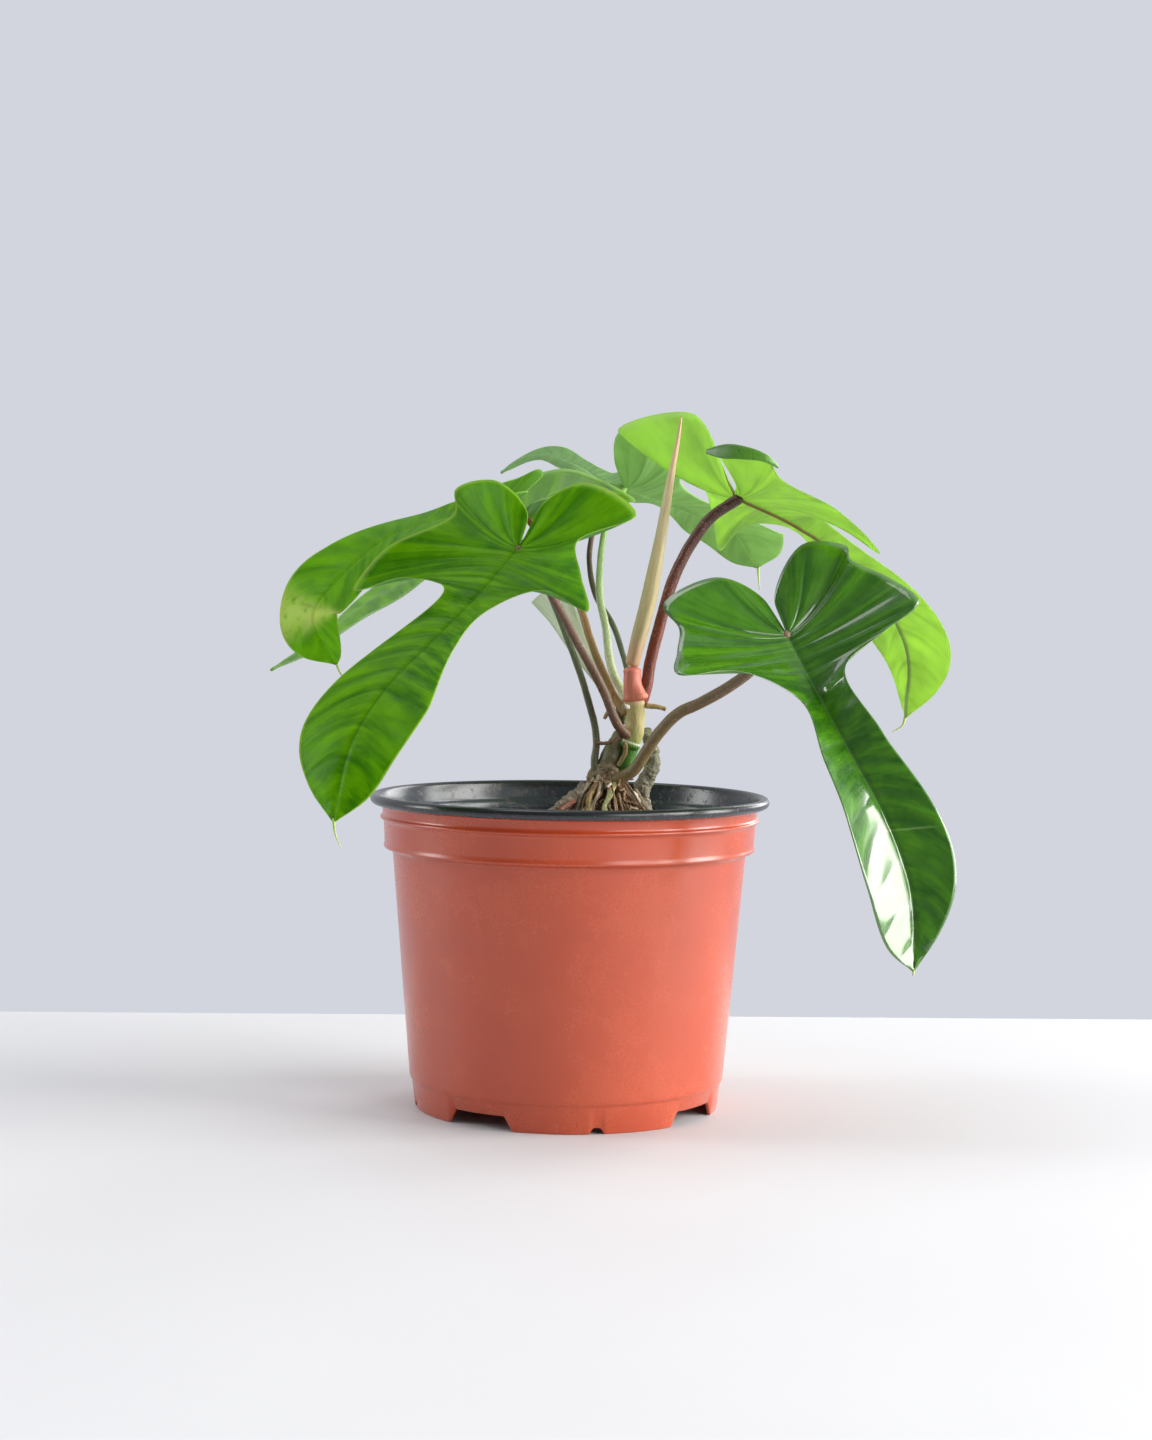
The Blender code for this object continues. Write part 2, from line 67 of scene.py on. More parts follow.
class Wire:
    """A shader socket.  Arithmetic on it adds Math nodes."""

    def __init__(self, tree, socket):
        self.tree, self.socket = tree, socket

    __add__ = __radd__ = two_way("ADD")
    __mul__ = __rmul__ = two_way("MULTIPLY")
    __sub__, __rsub__ = two_way("SUBTRACT"), two_way("SUBTRACT", swapped=True)
    most = two_way("MAXIMUM")

    def one(self, kind):
        """A Math node of one value, such as ABSOLUTE, COSINE or FRACT."""
        return self.tree.add("Math", {"operation": kind}, {0: self})

    def rise(self, low, high, bottom=0.0, top=1.0):
        """Goes smoothly from bottom to top as the value goes from low to high."""
        return self.tree.add("MapRange", {"interpolation_type": "SMOOTHSTEP"},
                             {0: self, 1: low, 2: high, 3: bottom, 4: top})

    def fall(self, low, high):
        """Goes smoothly from 1 to 0 as the value goes from low to high."""
        return self.rise(low, high, 1.0, 0.0)

    def near(self, centre, width):
        """A soft hump: 1 at centre, 0 beyond width from it."""
        return (self - centre).one("ABSOLUTE").fall(0, width)

    def parts(self):
        split = self.tree.add("SeparateXYZ", None, {0: self}).socket.node
        return [Wire(self.tree, out) for out in split.outputs]


class Tree:
    """A node tree, built node by node."""

    def __init__(self, tree):
        self.nodes, self.links = tree.nodes, tree.links

    def add(self, kind, settings=None, sockets=None, out=0):
        """Adds a node: its settings first, then the values or links of its sockets."""
        node = self.nodes.new("ShaderNode" + kind)
        for key, value in (settings or {}).items():
            setattr(node, key, value)
        for key, value in (sockets or {}).items():
            socket = node.inputs[key]
            if isinstance(value, Wire):
                self.links.new(value.socket, socket)
            else:
                socket.default_value = (*value, 1) if socket.type == "RGBA" else value
        return Wire(self, node.outputs[out])

    def mix(self, share, first, second):
        return self.add("Mix", {"data_type": "RGBA"}, {0: share, 6: first, 7: second}, out=2)


class Finish(Tree):
    """One material."""

    def __init__(self, name):
        self.material = bpy.data.materials.new(name)
        self.material.use_nodes = True
        super().__init__(self.material.node_tree)
        self.nodes.clear()
        at = self.add("TexCoord", out="Object")
        # Where on the object, in millimetres.
        self.place = self.add("VectorMath", {"operation": "SCALE"}, {0: at, "Scale": 1000.0})

    def chart(self, name):
        """The piece's own attribute, as three numbers."""
        return self.add("Attribute", {"attribute_name": name}, out="Vector").parts()

    def vector(self, x, y, z=0.0):
        return self.add("CombineXYZ", None, {0: x, 1: y, 2: z})

    def grain(self, where, scale, detail=2.0, rough=.5, warp=0.0):
        return self.add("TexNoise", None, {"Vector": where, "Scale": scale, "Detail": detail,
                                           "Roughness": rough, "Distortion": warp})

    def cells(self, where, scale):
        return self.add("TexVoronoi", None, {"Vector": where, "Scale": scale})

    def bump(self, height, depth, strength=1.0):
        """Depth is the height in millimetres that 1 stands for."""
        return self.add("Bump", None, {"Strength": strength, "Distance": depth * MM,
                                       "Height": height}, out="Normal")

    def shader(self, colour, rough, normal=None, **constants):
        sockets = {key.replace("_", " "): value for key, value in constants.items()}
        if normal is not None:
            sockets["Normal"] = normal
        sockets.update({"Base Color": colour, "Roughness": rough})
        return self.add("BsdfPrincipled", None, sockets)

    def done(self, shader):
        end = self.nodes.new("ShaderNodeOutputMaterial")
        self.links.new(shader.socket, end.inputs["Surface"])
        return self.material

    def lit_through(self, skin, share, colour, **sockets):
        """Ends the material as a skin that lets a share of the light through, tinted."""
        lit = self.add("BsdfTranslucent", None, {"Color": colour, **sockets})
        return self.done(self.add("MixShader", None, {0: share, 1: skin, 2: lit}))


# ---------------------------------------------------------------- curves and grids

def smooth(x, xs, ys):
    """A cubic on each stretch through the points (xs, ys), with their mean slopes."""
    xs, ys = np.asarray(xs, float), np.asarray(ys, float)
    slope = np.gradient(ys, xs)
    i = np.clip(np.searchsorted(xs, x, side="right") - 1, 0, len(xs) - 2)
    h = xs[i + 1] - xs[i]
    t = (x - xs[i]) / h
    return ((1 + 2 * t) * (1 - t) ** 2 * ys[i] + t * (1 - t) ** 2 * h * slope[i]
            + t * t * (3 - 2 * t) * ys[i + 1] + t * t * (t - 1) * h * slope[i + 1])


def through(points, count):
    """count places evenly spaced on a smooth curve through the points."""
    points = np.asarray(points, float)
    at = np.r_[0, np.cumsum(np.linalg.norm(np.diff(points, axis=0), axis=1))]
    return np.stack([smooth(np.linspace(0, at[-1], count), at, c) for c in points.T], -1)


def unit(v):
    return v / np.linalg.norm(v, axis=-1, keepdims=True)


def hump(x, centre, width):
    """The bell exp(-((x - centre) / width) squared)."""
    return np.exp(-((x - centre) / width) ** 2)


def ease(f):
    return f * f * (3 - 2 * f)


def turns(count):
    """That many angles evenly round a circle."""
    return np.linspace(0, 2 * math.pi, count, endpoint=False)


def turned(r, turn, z):
    """Places at radius r, angle turn and height z."""
    return np.stack(np.broadcast_arrays(r * np.cos(turn), r * np.sin(turn), z), -1)


LATTICE = 4096                                       # how many random numbers there are
LATTICE_KEYS = (73856093, 19349663, 83492791)        # large primes that scramble a corner


def lumps(points, pitch, seed):
    """Smooth random heights from -1 to 1: numbers on a lattice of that pitch, blended between
    each place's eight lattice corners."""
    place = np.asarray(points, float) / pitch + LATTICE
    cell = np.floor(place).astype(np.int64)
    share = ease(place - cell)
    numbers = np.random.default_rng(seed).uniform(-1, 1, LATTICE)
    total = 0
    for corner in np.ndindex(2, 2, 2):
        corner = np.array(corner)
        key = (cell + corner) * LATTICE_KEYS
        key = (key[..., 0] ^ key[..., 1] ^ key[..., 2]) % LATTICE
        total = total + np.prod(np.where(corner, share, 1 - share), axis=-1) * numbers[key]
    return total


def sheet_faces(rows, columns, wrap=False, start=0):
    """Quads of a grid of rows by columns; wrap joins the last column to the first."""
    i = np.arange(rows - 1)[:, None] * columns
    j = np.arange(columns if wrap else columns - 1)[None, :]
    k = (j + 1) % columns
    quads = np.stack([i + j, i + k, i + columns + k, i + columns + j], -1)
    return quads.reshape(-1, 4) + start


def add_object(name, data):
    obj = bpy.data.objects.new(name, data)
    bpy.context.collection.objects.link(obj)
    return obj


def stand(obj, x, y, z, at):
    """Turns an object's axes to x, y and z, and stands it at a place in metres."""
    obj.matrix_world = Matrix([*np.stack([x, y, z, at], -1).tolist(), (0, 0, 0, 1)])


def add_piece(name, node, points, faces, finishes, which=None, charts=None, merge=0.0):
    """A closed smooth mesh, in place of a CAD node where one is named, which is then hidden.
    points are millimetres about the pot's axis, which gives each face's finish, charts are
    vectors for the materials, and points closer than merge become one."""
    mesh = bpy.data.meshes.new(name)
    points = (np.asarray(points, float).reshape(-1, 3) + AXIS) * MM
    mesh.from_pydata(points.tolist(), [], faces if isinstance(faces, list) else faces.tolist())
    for finish in finishes:
        mesh.materials.append(finish)
    if which is not None:
        mesh.polygons.foreach_set("material_index", np.asarray(which, np.int32))
    for key, values in (charts or {}).items():
        chart = mesh.attributes.new(key, "FLOAT_VECTOR", "POINT")
        chart.data.foreach_set("vector", np.asarray(values, np.float32).reshape(-1))
    work = bmesh.new()
    work.from_mesh(mesh)
    if merge:
        bmesh.ops.remove_doubles(work, verts=work.verts, dist=merge * MM)
    bmesh.ops.recalc_face_normals(work, faces=work.faces)
    for face in work.faces:
        face.smooth = True
    work.to_mesh(mesh)
    work.free()
    obj = add_object(name, mesh)
    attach(obj, "root")
    if node:
        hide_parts(node)


# ---------------------------------------------------------------- blades

STATIONS = 13
# Share of the midrib's length at which the vein to each station leaves it, and how many side
# veins have left it by then: veins run where this count is whole.
VEIN_ROOT = (0, .002, .005, .009, .02, .04, .09, .15, .22, .38, .62, .84, 1)
VEIN_COUNT = (0, .9, 1.9, 3, 4.2, 5.4, 7, 8.3, 9.6, 12.3, 15.2, 17.2, 18.6)

# spine: midrib from the stalk to the tip.  top: the upper side's facing at the stalk and tip.
# left, right: the margin from sinus to taper, as (along, out, above).  cup: how late on its way
# out a vein bends up or down, where it isn't the usual 2.
BLADES = {
    "front_left": dict(
        spine=((-17, -18, 182), (-30, -28, 166), (-44, -39, 151), (-57, -50, 137),
          (-67, -60, 119), (-71, -65, 97)),
        top=((0, -.3, 1), (-.3, -.6, .7)),
        left=((-15, 2, 6), (-24, 13, 8), (-20, 36, 4), (-2, 27, 8), (8, 35, 5), (20, 47, 4),
          (18, 27, 6), (27, 11, 2), (47, 13, 3), (75, 21, 1), (103, 12, -1)),
        right=((-11, 4, 3), (-17, 20, 8), (-13, 38, 4), (-3, 31, 3), (18, 45, 3), (32, 52, -4),
          (26, 31, 2), (26, 11, 2), (55, 17, 0), (88, 22, -3), (103, 13, -2))),
    "left": dict(
        spine=((-25, 22, 196), (-43, 27, 192), (-61, 30, 186), (-76, 30, 174), (-87, 28, 158),
          (-79, 25, 142)),
        top=((0, -.2, 1), (-.7, -.6, .2)),
        left=((-8, 2, 2), (-13, 7, 3), (-10, 12, 4), (-3, 10, 3), (4, 11, 1), (12, 13, 0),
          (15, 12, 0), (22, 10, 0), (42, 12, 0), (73, 16, 1), (94, 6, 2)),
        right=((-8, 2, 2), (-14, 10, 6), (-10, 20, 8), (-3, 18, 6), (4, 20, 5), (12, 21, 4),
          (14, 15, 3), (19, 11, 2), (36, 13, 0), (72, 18, 3), (85, 11, 2))),
    "far_left": dict(
        spine=((-15, 40, 193), (-34, 51, 183), (-53, 61, 173), (-72, 71, 163), (-90, 79, 150),
          (-109, 87, 138)),
        top=((0, 0, 1), (0, 0, 1)),
        left=((-8, 2, 0), (-14, 8, 0), (-10, 14, 0), (-4, 12, 0), (4, 12, 0), (14, 13, -2),
          (18, 12, -2), (26, 9, -2), (41, 9, -4), (65, 10, -7), (93, 8, -5)),
        right=((-6, 1, 3), (-13, 6, 5), (-29, 21, -6), (-17, 28, 7), (-3, 30, 18), (18, 33, 23),
          (18, 26, 17), (30, 10, 8), (54, 12, 8), (89, 18, 8), (110, 11, 4))),
    "rear": dict(
        spine=((11, 80, 206), (5, 90, 211), (-2, 100, 215), (-10, 109, 218), (-19, 117, 217),
          (-28, 124, 212)),
        top=((0, .1, 1), (-.3, .3, 1)),
        left=((-5, 1, 0), (-9, 6, 0), (-7, 13, 0), (-2, 12, 0), (3, 14, 0), (11, 16, 0),
          (11, 11, 0), (15, 5, 0), (21, 4, -2), (37, 4, -2), (52, 4, -3)),
        right=((-4, 1, 1), (-6, 4, 2), (-5, 7, 2), (-1, 7, 2), (4, 9, 2), (11, 11, 2),
          (12, 9, 1), (16, 6, 1), (27, 7, 2), (48, 7, 4), (59, 4, 3))),
    "rear_right": dict(
        spine=((17, 62, 205), (27, 77, 202), (37, 92, 200), (49, 105, 196), (61, 118, 191),
          (69, 124, 178)),
        top=((0, .1, 1), (.6, .6, .5)),
        left=((-4, 1, 0), (-6, 3, 0), (-5, 6, 0), (-1, 6, 0), (5, 8, -1), (13, 10, -1),
          (16, 9, -1), (22, 8, -1), (41, 9, -1), (68, 13, -6), (82, 6, -6)),
        right=((-10, 2, 7), (-21, 11, 14), (-18, 22, 16), (-4, 23, 14), (1, 24, 11), (8, 23, 9),
          (12, 16, 6), (23, 11, 3), (40, 13, 1), (66, 25, -3), (85, 13, 2))),
    "top_right": dict(
        spine=((53, 5, 200), (72, 14, 192), (90, 23, 181), (105, 32, 167), (115, 39, 148),
          (115, 45, 126)),
        top=((0, .1, 1), (.8, .5, .3)),
        left=((-7, 1, 7), (-18, 10, 22), (-30, 39, 16), (-13, 32, 15), (1, 30, 9), (24, 45, -5),
          (20, 27, 1), (27, 11, 2), (48, 14, 0), (89, 16, -1), (106, 10, 4)),
        right=((-7, 8, 5), (-21, 20, 4), (-10, 33, 4), (-3, 32, 0), (14, 41, -5), (29, 50, -14),
          (22, 35, -7), (22, 13, 1), (43, 11, 1), (85, 23, -1), (100, 13, 1))),
    "front_right": dict(
        spine=((67, -30, 156), (76, -41, 138), (86, -52, 119), (96, -60, 100), (103, -66, 79),
          (104, -70, 55)),
        top=((0, -.9, .5), (0, -.9, .3)),
        left=((-13, 2, 0), (-25, 17, 4), (-20, 30, 3), (-13, 28, 7), (-1, 36, 8), (12, 39, 11),
          (15, 26, 7), (23, 9, 8), (46, 11, 4), (87, 15, 3), (105, 8, 1)),
        right=((-14, 2, 1), (-24, 13, 5), (-19, 34, 9), (-9, 33, 10), (1, 38, 14), (13, 43, 24),
          (16, 24, 18), (28, 8, 7), (49, 11, 9.5), (88, 15, 12.5), (110, 9, 7)),
        cup=1.25),
}


BLADE_ROWS, HALF_COLUMNS = 300, 26
BLADE_THICK = .8
RIB_STEPS, RIB_BACK = 160, 60                        # and how far the basal lobes may reach back
VEIN_GROOVE, RIB_GROOVE, SWELL, SWAY = .16, .45, .20, .5
RIBS = {}


class Midrib:
    """A blade's midrib, with the directions along it, to its right and out of its top."""

    def __init__(self, points, top):
        line = through(points, RIB_STEPS)
        gone = np.r_[0, np.cumsum(np.linalg.norm(np.diff(line, axis=0), axis=1))]
        self.length = gone[-1]
        back = np.arange(-RIB_BACK, 0, 2.0)
        self.at = np.r_[back, gone]
        self.line = np.vstack([line[0] + unit(line[2] - line[0]) * back[:, None], line])
        along = unit(np.gradient(self.line, self.at, axis=0))
        share = ease(np.clip(self.at / self.length, 0, 1))[:, None]
        first, last = unit(np.array(top, float))
        facing = first * (1 - share) + last * share
        self.side = unit(np.cross(along, facing))
        self.up = np.cross(self.side, along)

    def frame(self, u):
        def pick(values):
            return np.stack([np.interp(u, self.at, c) for c in values.T], -1)
        return pick(self.line), unit(pick(self.side)), unit(pick(self.up))


def half_blade(rib, margin, side, shares, cup):
    """One half of a blade on the grid (vein, share of the way out).  A vein leaves the midrib
    square at root r and comes to margin point (u, v, h): along = r + (u - r) t^1.5,
    out = v t, above = h t^cup, with grooves on the veins, swells between and a waved margin."""
    outline = np.array([(-1, .6, 0), *margin, (rib.length, 0, 0)])
    chord = np.r_[0, np.cumsum(np.linalg.norm(np.diff(outline, axis=0), axis=1) ** .6)]
    station = np.linspace(0, STATIONS - 1, BLADE_ROWS)
    at = np.interp(station, range(STATIONS), chord)
    edge = np.stack([smooth(at, chord, c) for c in outline.T], -1)
    root = np.interp(station, range(STATIONS), VEIN_ROOT) * rib.length
    count = np.interp(station, range(STATIONS), VEIN_COUNT)[:, None]
    t = shares[None, :]
    along = root[:, None] + (edge[:, :1] - root[:, None]) * t ** 1.5
    out = edge[:, 1:2] * t
    wide = edge[:, 1:2]
    middle = t * (1 - t) * 4
    off_vein = np.abs((count + .5) % 1 - .5)
    above = edge[:, 2:] * t ** cup
    above = above - VEIN_GROOVE * hump(off_vein, 0, .13) * middle ** .5
    above = above + SWELL * np.sin(math.pi * count) ** 2 * middle
    above = above - RIB_GROOVE * hump(out, 0, 1.0) * np.clip(wide / 8, 0, 1)
    above = above + SWAY * t ** 3 * np.sin(count * 1.35 + side) * np.clip(wide / 10, 0, 1)
    line, across, up = rib.frame(along)
    points = line + across * (out * side)[..., None] + up * above[..., None]
    chart = np.stack(np.broadcast_arrays(count, t * side, out * side), -1)
    return points, up, chart, along / rib.length


def add_blade(name, blade, finishes):
    """Both halves as one closed sheet: the middle surface moved half the thickness each way
    along its upward direction, thinner at the margin, with the midrib standing out below."""
    rib = Midrib(blade["spine"], blade["top"])
    shares = np.linspace(0, 1, HALF_COLUMNS + 1) ** 1.7
    cup = blade.get("cup", 2.0)
    left, right = [half_blade(rib, blade[key], side, shares, cup)
                   for key, side in (("left", -1), ("right", 1))]
    middle, up, chart, run = [np.concatenate([a[:, :0:-1], b], axis=1)[:-1]
                              for a, b in zip(left, right)]
    wide = middle.shape[1]
    share, out = np.abs(chart[..., 1]), chart[..., 2]
    half_thick = BLADE_THICK / 2 * (1 - .7 * share ** 5)
    ribbed = .75 * hump(out, 0, .85) * (1 - .75 * np.clip(run, 0, 1)) * np.clip(run * 30, 0, 1)
    top = middle + up * half_thick[..., None]
    low = middle - up * (half_thick + ribbed)[..., None]
    tip = right[0][-1, 0]
    count = middle.shape[0] * wide
    points = np.vstack([top.reshape(-1, 3), low.reshape(-1, 3), tip[None]])
    quads = sheet_faces(middle.shape[0], wide)
    edge = np.arange(middle.shape[0] - 1) * wide
    rims = [np.stack([e, e + wide, e + wide + count, e + count], -1)
            for e in (edge, edge + wide - 1)]
    cross = np.arange(wide - 1)
    rims.append(np.stack([cross, cross + 1, cross + 1 + count, cross + count], -1))
    last = count - wide
    fans = [(row + j, row + j + 1, 2 * count) for row in (last, count + last)
            for j in range(wide - 1)]
    ends = [(j, 2 * count, count + j) for j in (last, count - 1)]
    faces = [*quads.tolist(), *(quads + count).tolist(), *np.vstack(rims).tolist(), *fans, *ends]
    which = np.zeros(len(faces), int)
    which[len(quads):2 * len(quads)] = 1
    which[-wide - 1:-2] = 1
    flat = chart.reshape(-1, 3)
    span = np.stack([run, share, run * 0], -1).reshape(-1, 3)
    charts = {"veins": np.vstack([flat, flat, [[VEIN_COUNT[-1], 0, 0]]]),
              "run": np.vstack([span, span, [[1, 0, 0]]])}
    add_piece(f"blade_{name}", f"leaf_{name}", points, faces, finishes, which, charts)
    return rib


def leaf_finish(name, tones, gloss, glow, lit, shine=.15, coat=0.0, rib_colour=None, marks=()):
    """Green tissue: bands and fine lines that follow the side veins, a midrib, a thin margin and
    a mottle, over light that comes through.  tones: dark, light, vein and margin."""
    dark, light, vein, margin = tones
    f = Finish(name)
    place = f.place
    count, share, out = f.chart("veins")
    run = f.chart("run")[0]
    away = share.one("ABSOLUTE")
    bands = f.grain(f.vector(count * 1.5, share * .55, run), 1.5, 3.0, .55, .3).rise(.34, .66)
    lines = f.grain(f.vector(count * 7, share * 1.6, run * .3), 1.6, 2.0).rise(.35, .65)
    mottle = f.grain(place, .16, 4.0, .6).rise(.36, .64)
    off_vein = ((count + .5).one("FRACT") - .5).one("ABSOLUTE")
    side_vein = off_vein.fall(.02, .11) * away.fall(.25, .98) * .55
    main = (count.near(3, .16).most(count.near(7, .16))) * away.rise(.35, 1.0, 1.0, .15)
    rib = out.one("ABSOLUTE").fall(.2, .8) * run.rise(.82, 1.0, 1.0, .35)
    veins = side_vein.most(main * .8).most(rib)
    beside = off_vein.fall(.05, .30) * away.rise(.05, .3)
    body = f.mix(bands * .62 + mottle * .2 + lines * .18, dark, light)
    body = f.mix(beside * .35, body, dark)
    body = f.mix(veins * .5, body, vein)
    if rib_colour:
        wide_rib = out.one("ABSOLUTE").fall(.7, 1.2)
        body = f.mix(wide_rib * run.rise(.2, .6, 1.0, .15), body, rib_colour)
    body = f.mix(away.rise(.955, .995) * .8, body, margin)
    for mark in marks:
        body = mark(f, body, run, share)
    relief = (1 - side_vein) * .5 + lines * .22 + f.grain(place, 1.3, 3.0, .6) * .25 + bands * .3
    normal = f.bump(relief, .18, .6)
    rough = mottle * .1 + gloss + lines * .04
    tissue = f.shader(body, rough, normal, Specular_IOR_Level=shine, Coat_Weight=coat,
                      Coat_Roughness=.10, Coat_IOR=1.75)
    share_through = (bands * .22 + mottle * .12 - veins * .30 + .86) * glow
    if rib_colour:
        share_through = share_through * (1 - wide_rib * .8)
    return f.lit_through(tissue, share_through, lit, Normal=normal)


def yellow_band(f, body, run, share):
    """A faded stripe across the blade near its tip, with a thin brown streak."""
    band = run.near(.80, .075) * f.grain(f.place, .35, 3.0).rise(.2, .5)
    streak = run.near(.775, .010) * share.near(.35, .4)
    body = f.mix(band * .9, body, (.62, .62, .16))
    return f.mix(streak * .6, body, (.22, .13, .03))


def scar(f, body, run, share):
    """A healed nick on the blade with a pale crease that runs out from it."""
    nick = np.array((94.2, -62, 96.5)) + AXIS
    near = f.add("VectorMath", {"operation": "DISTANCE"}, {0: f.place, 1: nick}, out="Value")
    spot = (near + f.grain(f.place, .9, 2.0) * 2.0).fall(2.2, 3.6)
    x, _, z = f.place.parts()
    rightward = x - nick[0]
    crease = (z - nick[2] - rightward * .12).near(0, .5) * rightward.rise(0, 3)
    body = f.mix(crease * rightward.fall(12, 20) * .5, body, (.25, .42, .12))
    return f.mix(spot * .85, body, (.33, .12, .09))


# tones: dark, light, vein and margin.  glow and lit: how much light comes through, and its
# colour.  low: what differs on the under side.
LEAF_LOOKS = {
    "front_left": dict(tones=((.013, .095, .0), (.17, .39, .0), (.012, .075, .0), (.38, .56, .08)),
        gloss=.30, glow=.34, lit=(.36, .80, .0), shine=.08),
    "left": dict(tones=((.035, .14, .0), (.16, .36, .002), (.12, .30, .01), (.4, .58, .15)),
        gloss=.30, glow=.42, lit=(.46, .86, .0), shine=.1, marks=[yellow_band],
        low=dict(marks=[yellow_band])),
    "far_left": dict(tones=((.05, .17, .005), (.22, .44, .02), (.02, .10, .0), (.4, .6, .2)),
        gloss=.32, glow=.36, lit=(.42, .78, .0), shine=.7),
    "rear": dict(tones=((.12, .26, .07), (.22, .40, .14), (.2, .36, .12), (.3, .45, .18)),
        gloss=.4, glow=.4, lit=(.42, .70, .2), shine=.6),
    "rear_right": dict(tones=((.10, .28, .05), (.22, .46, .10), (.28, .5, .14), (.4, .6, .2)),
        gloss=.36, glow=.46, lit=(.55, .80, .34), shine=.4,
        low=dict(tones=((.16, .32, .09), (.26, .44, .16), (.14, .30, .08),
        (.4, .6, .25)))),
    "top_right": dict(tones=((.02, .09, .004), (.06, .19, .01), (.2, .42, .08), (.4, .6, .15)),
        gloss=.30, glow=.52, lit=(.60, .88, .16), shine=.4,
        low=dict(rib_colour=(.22, .10, .05),
        tones=((.22, .40, .12), (.34, .54, .20), (.08, .22, .03),
        (.5, .7, .3)))),
    "front_right": dict(tones=((.010, .075, .0), (.075, .25, .004), (.05, .15, .03),
        (.14, .26, .09)),
        gloss=.25, glow=.12, lit=(.3, .7, .0), shine=.2, coat=1.0, marks=[scar]),
}
LEAF_UNDER = dict(tones=((.10, .24, .055), (.17, .34, .09), (.24, .42, .14), (.34, .52, .2)),
                  gloss=.42)

for name, look in LEAF_LOOKS.items():
    low = {**LEAF_UNDER, "glow": look["glow"], "lit": look["lit"], **look.pop("low", {})}
    RIBS[name] = add_blade(name, BLADES[name], [leaf_finish(f"leaf_top_{name}", **look),
                                                leaf_finish(f"leaf_under_{name}", **low)])


# ---------------------------------------------------------------- stalks, stem and roots

# Stalk, stem and root skins: the colours at the foot, at the head, of streaks and of specks,
# then the roughness, and where they aren't the usual ones the specks' size, the bump's depth,
# the specks' share and the shine.
SKINS = {
    "petiole_purple_brown": ((.19, .095, .05), (.16, .07, .045), (.09, .05, .035),
        (.42, .30, .22), .42),
    "petiole_tan": ((.42, .26, .10), (.30, .12, .05), (.24, .13, .05), (.5, .36, .2), .42),
    "petiole_dark_green": ((.16, .13, .07), (.06, .13, .04), (.05, .085, .035), (.22, .28, .14),
        .42),
    "petiole_dim_green": ((.10, .14, .06), (.14, .05, .045), (.08, .05, .04), (.2, .22, .12),
        .45),
    "petiole_pale_green": ((.62, .64, .44), (.34, .56, .14), (.24, .46, .10), (.6, .72, .42),
        .34, .9, .1, .2),
    "petiole_red": ((.26, .05, .025), (.075, .025, .018), (.05, .018, .014), (.55, .28, .20),
        .32, 1.5, .22, .75),
    "petiole_olive_brown": ((.24, .17, .07), (.24, .15, .10), (.15, .105, .055), (.42, .31, .22),
        .46),
    "root_bark": ((.25, .19, .115), (.20, .145, .09), (.11, .075, .05), (.46, .38, .28),
        .72, .7, .3, .5, .3),
    "root_grey_bark": ((.26, .21, .16), (.28, .22, .165), (.13, .095, .07), (.5, .44, .36),
        .75, .6, .35, .5, .3),
    "root_red_bark": ((.26, .075, .035), (.2, .085, .05), (.12, .04, .025), (.4, .25, .16), .6),
    "root_ochre": ((.30, .18, .05), (.30, .24, .09), (.16, .10, .035), (.5, .42, .2), .55),
    "root_pale_green": ((.36, .34, .13), (.44, .44, .22), (.22, .24, .08), (.55, .55, .3), .5),
    "root_brown": ((.22, .13, .06), (.17, .085, .045), (.10, .05, .03), (.4, .26, .15), .6),
    "root_white": ((.66, .62, .54), (.5, .45, .36), (.36, .31, .24), (.75, .72, .66), .55),
    "aerial_root_straw": ((.50, .36, .16), (.44, .29, .12), (.34, .22, .08), (.62, .52, .34), .5),
    "old_stub_bark": ((.20, .21, .13), (.27, .23, .17), (.10, .09, .06), (.50, .48, .40),
        .75, .5, .35),
    "stem_grey_green": ((.17, .17, .075), (.20, .16, .09), (.10, .10, .05), (.36, .34, .22),
        .55, .9, .2),
    "stem_bright_green": ((.10, .26, .035), (.055, .20, .02), (.04, .15, .02), (.2, .4, .1),
        .34, .9, .1, .2),
    "sheath_coral": ((.66, .20, .12), (.78, .24, .17), (.60, .13, .10), (.8, .42, .32),
        .42, .9, .06, .25),
    "fine_root_brown": ((.22, .12, .06), (.34, .20, .11), (.09, .05, .03), (.5, .36, .24),
        .6, .9, .15),
    "fine_root_pale": ((.46, .42, .28), (.60, .52, .38), (.28, .18, .10), (.75, .68, .55),
        .5, .9, .12),
    "drip_tip": ((.34, .52, .10), (.55, .52, .22), (.3, .45, .1), (.6, .65, .3), .4, .9, .02),
    "turned_edge": ((.05, .17, .01), (.12, .32, .03), (.03, .12, .01), (.2, .4, .1),
        .25, .9, .03, .1),
}
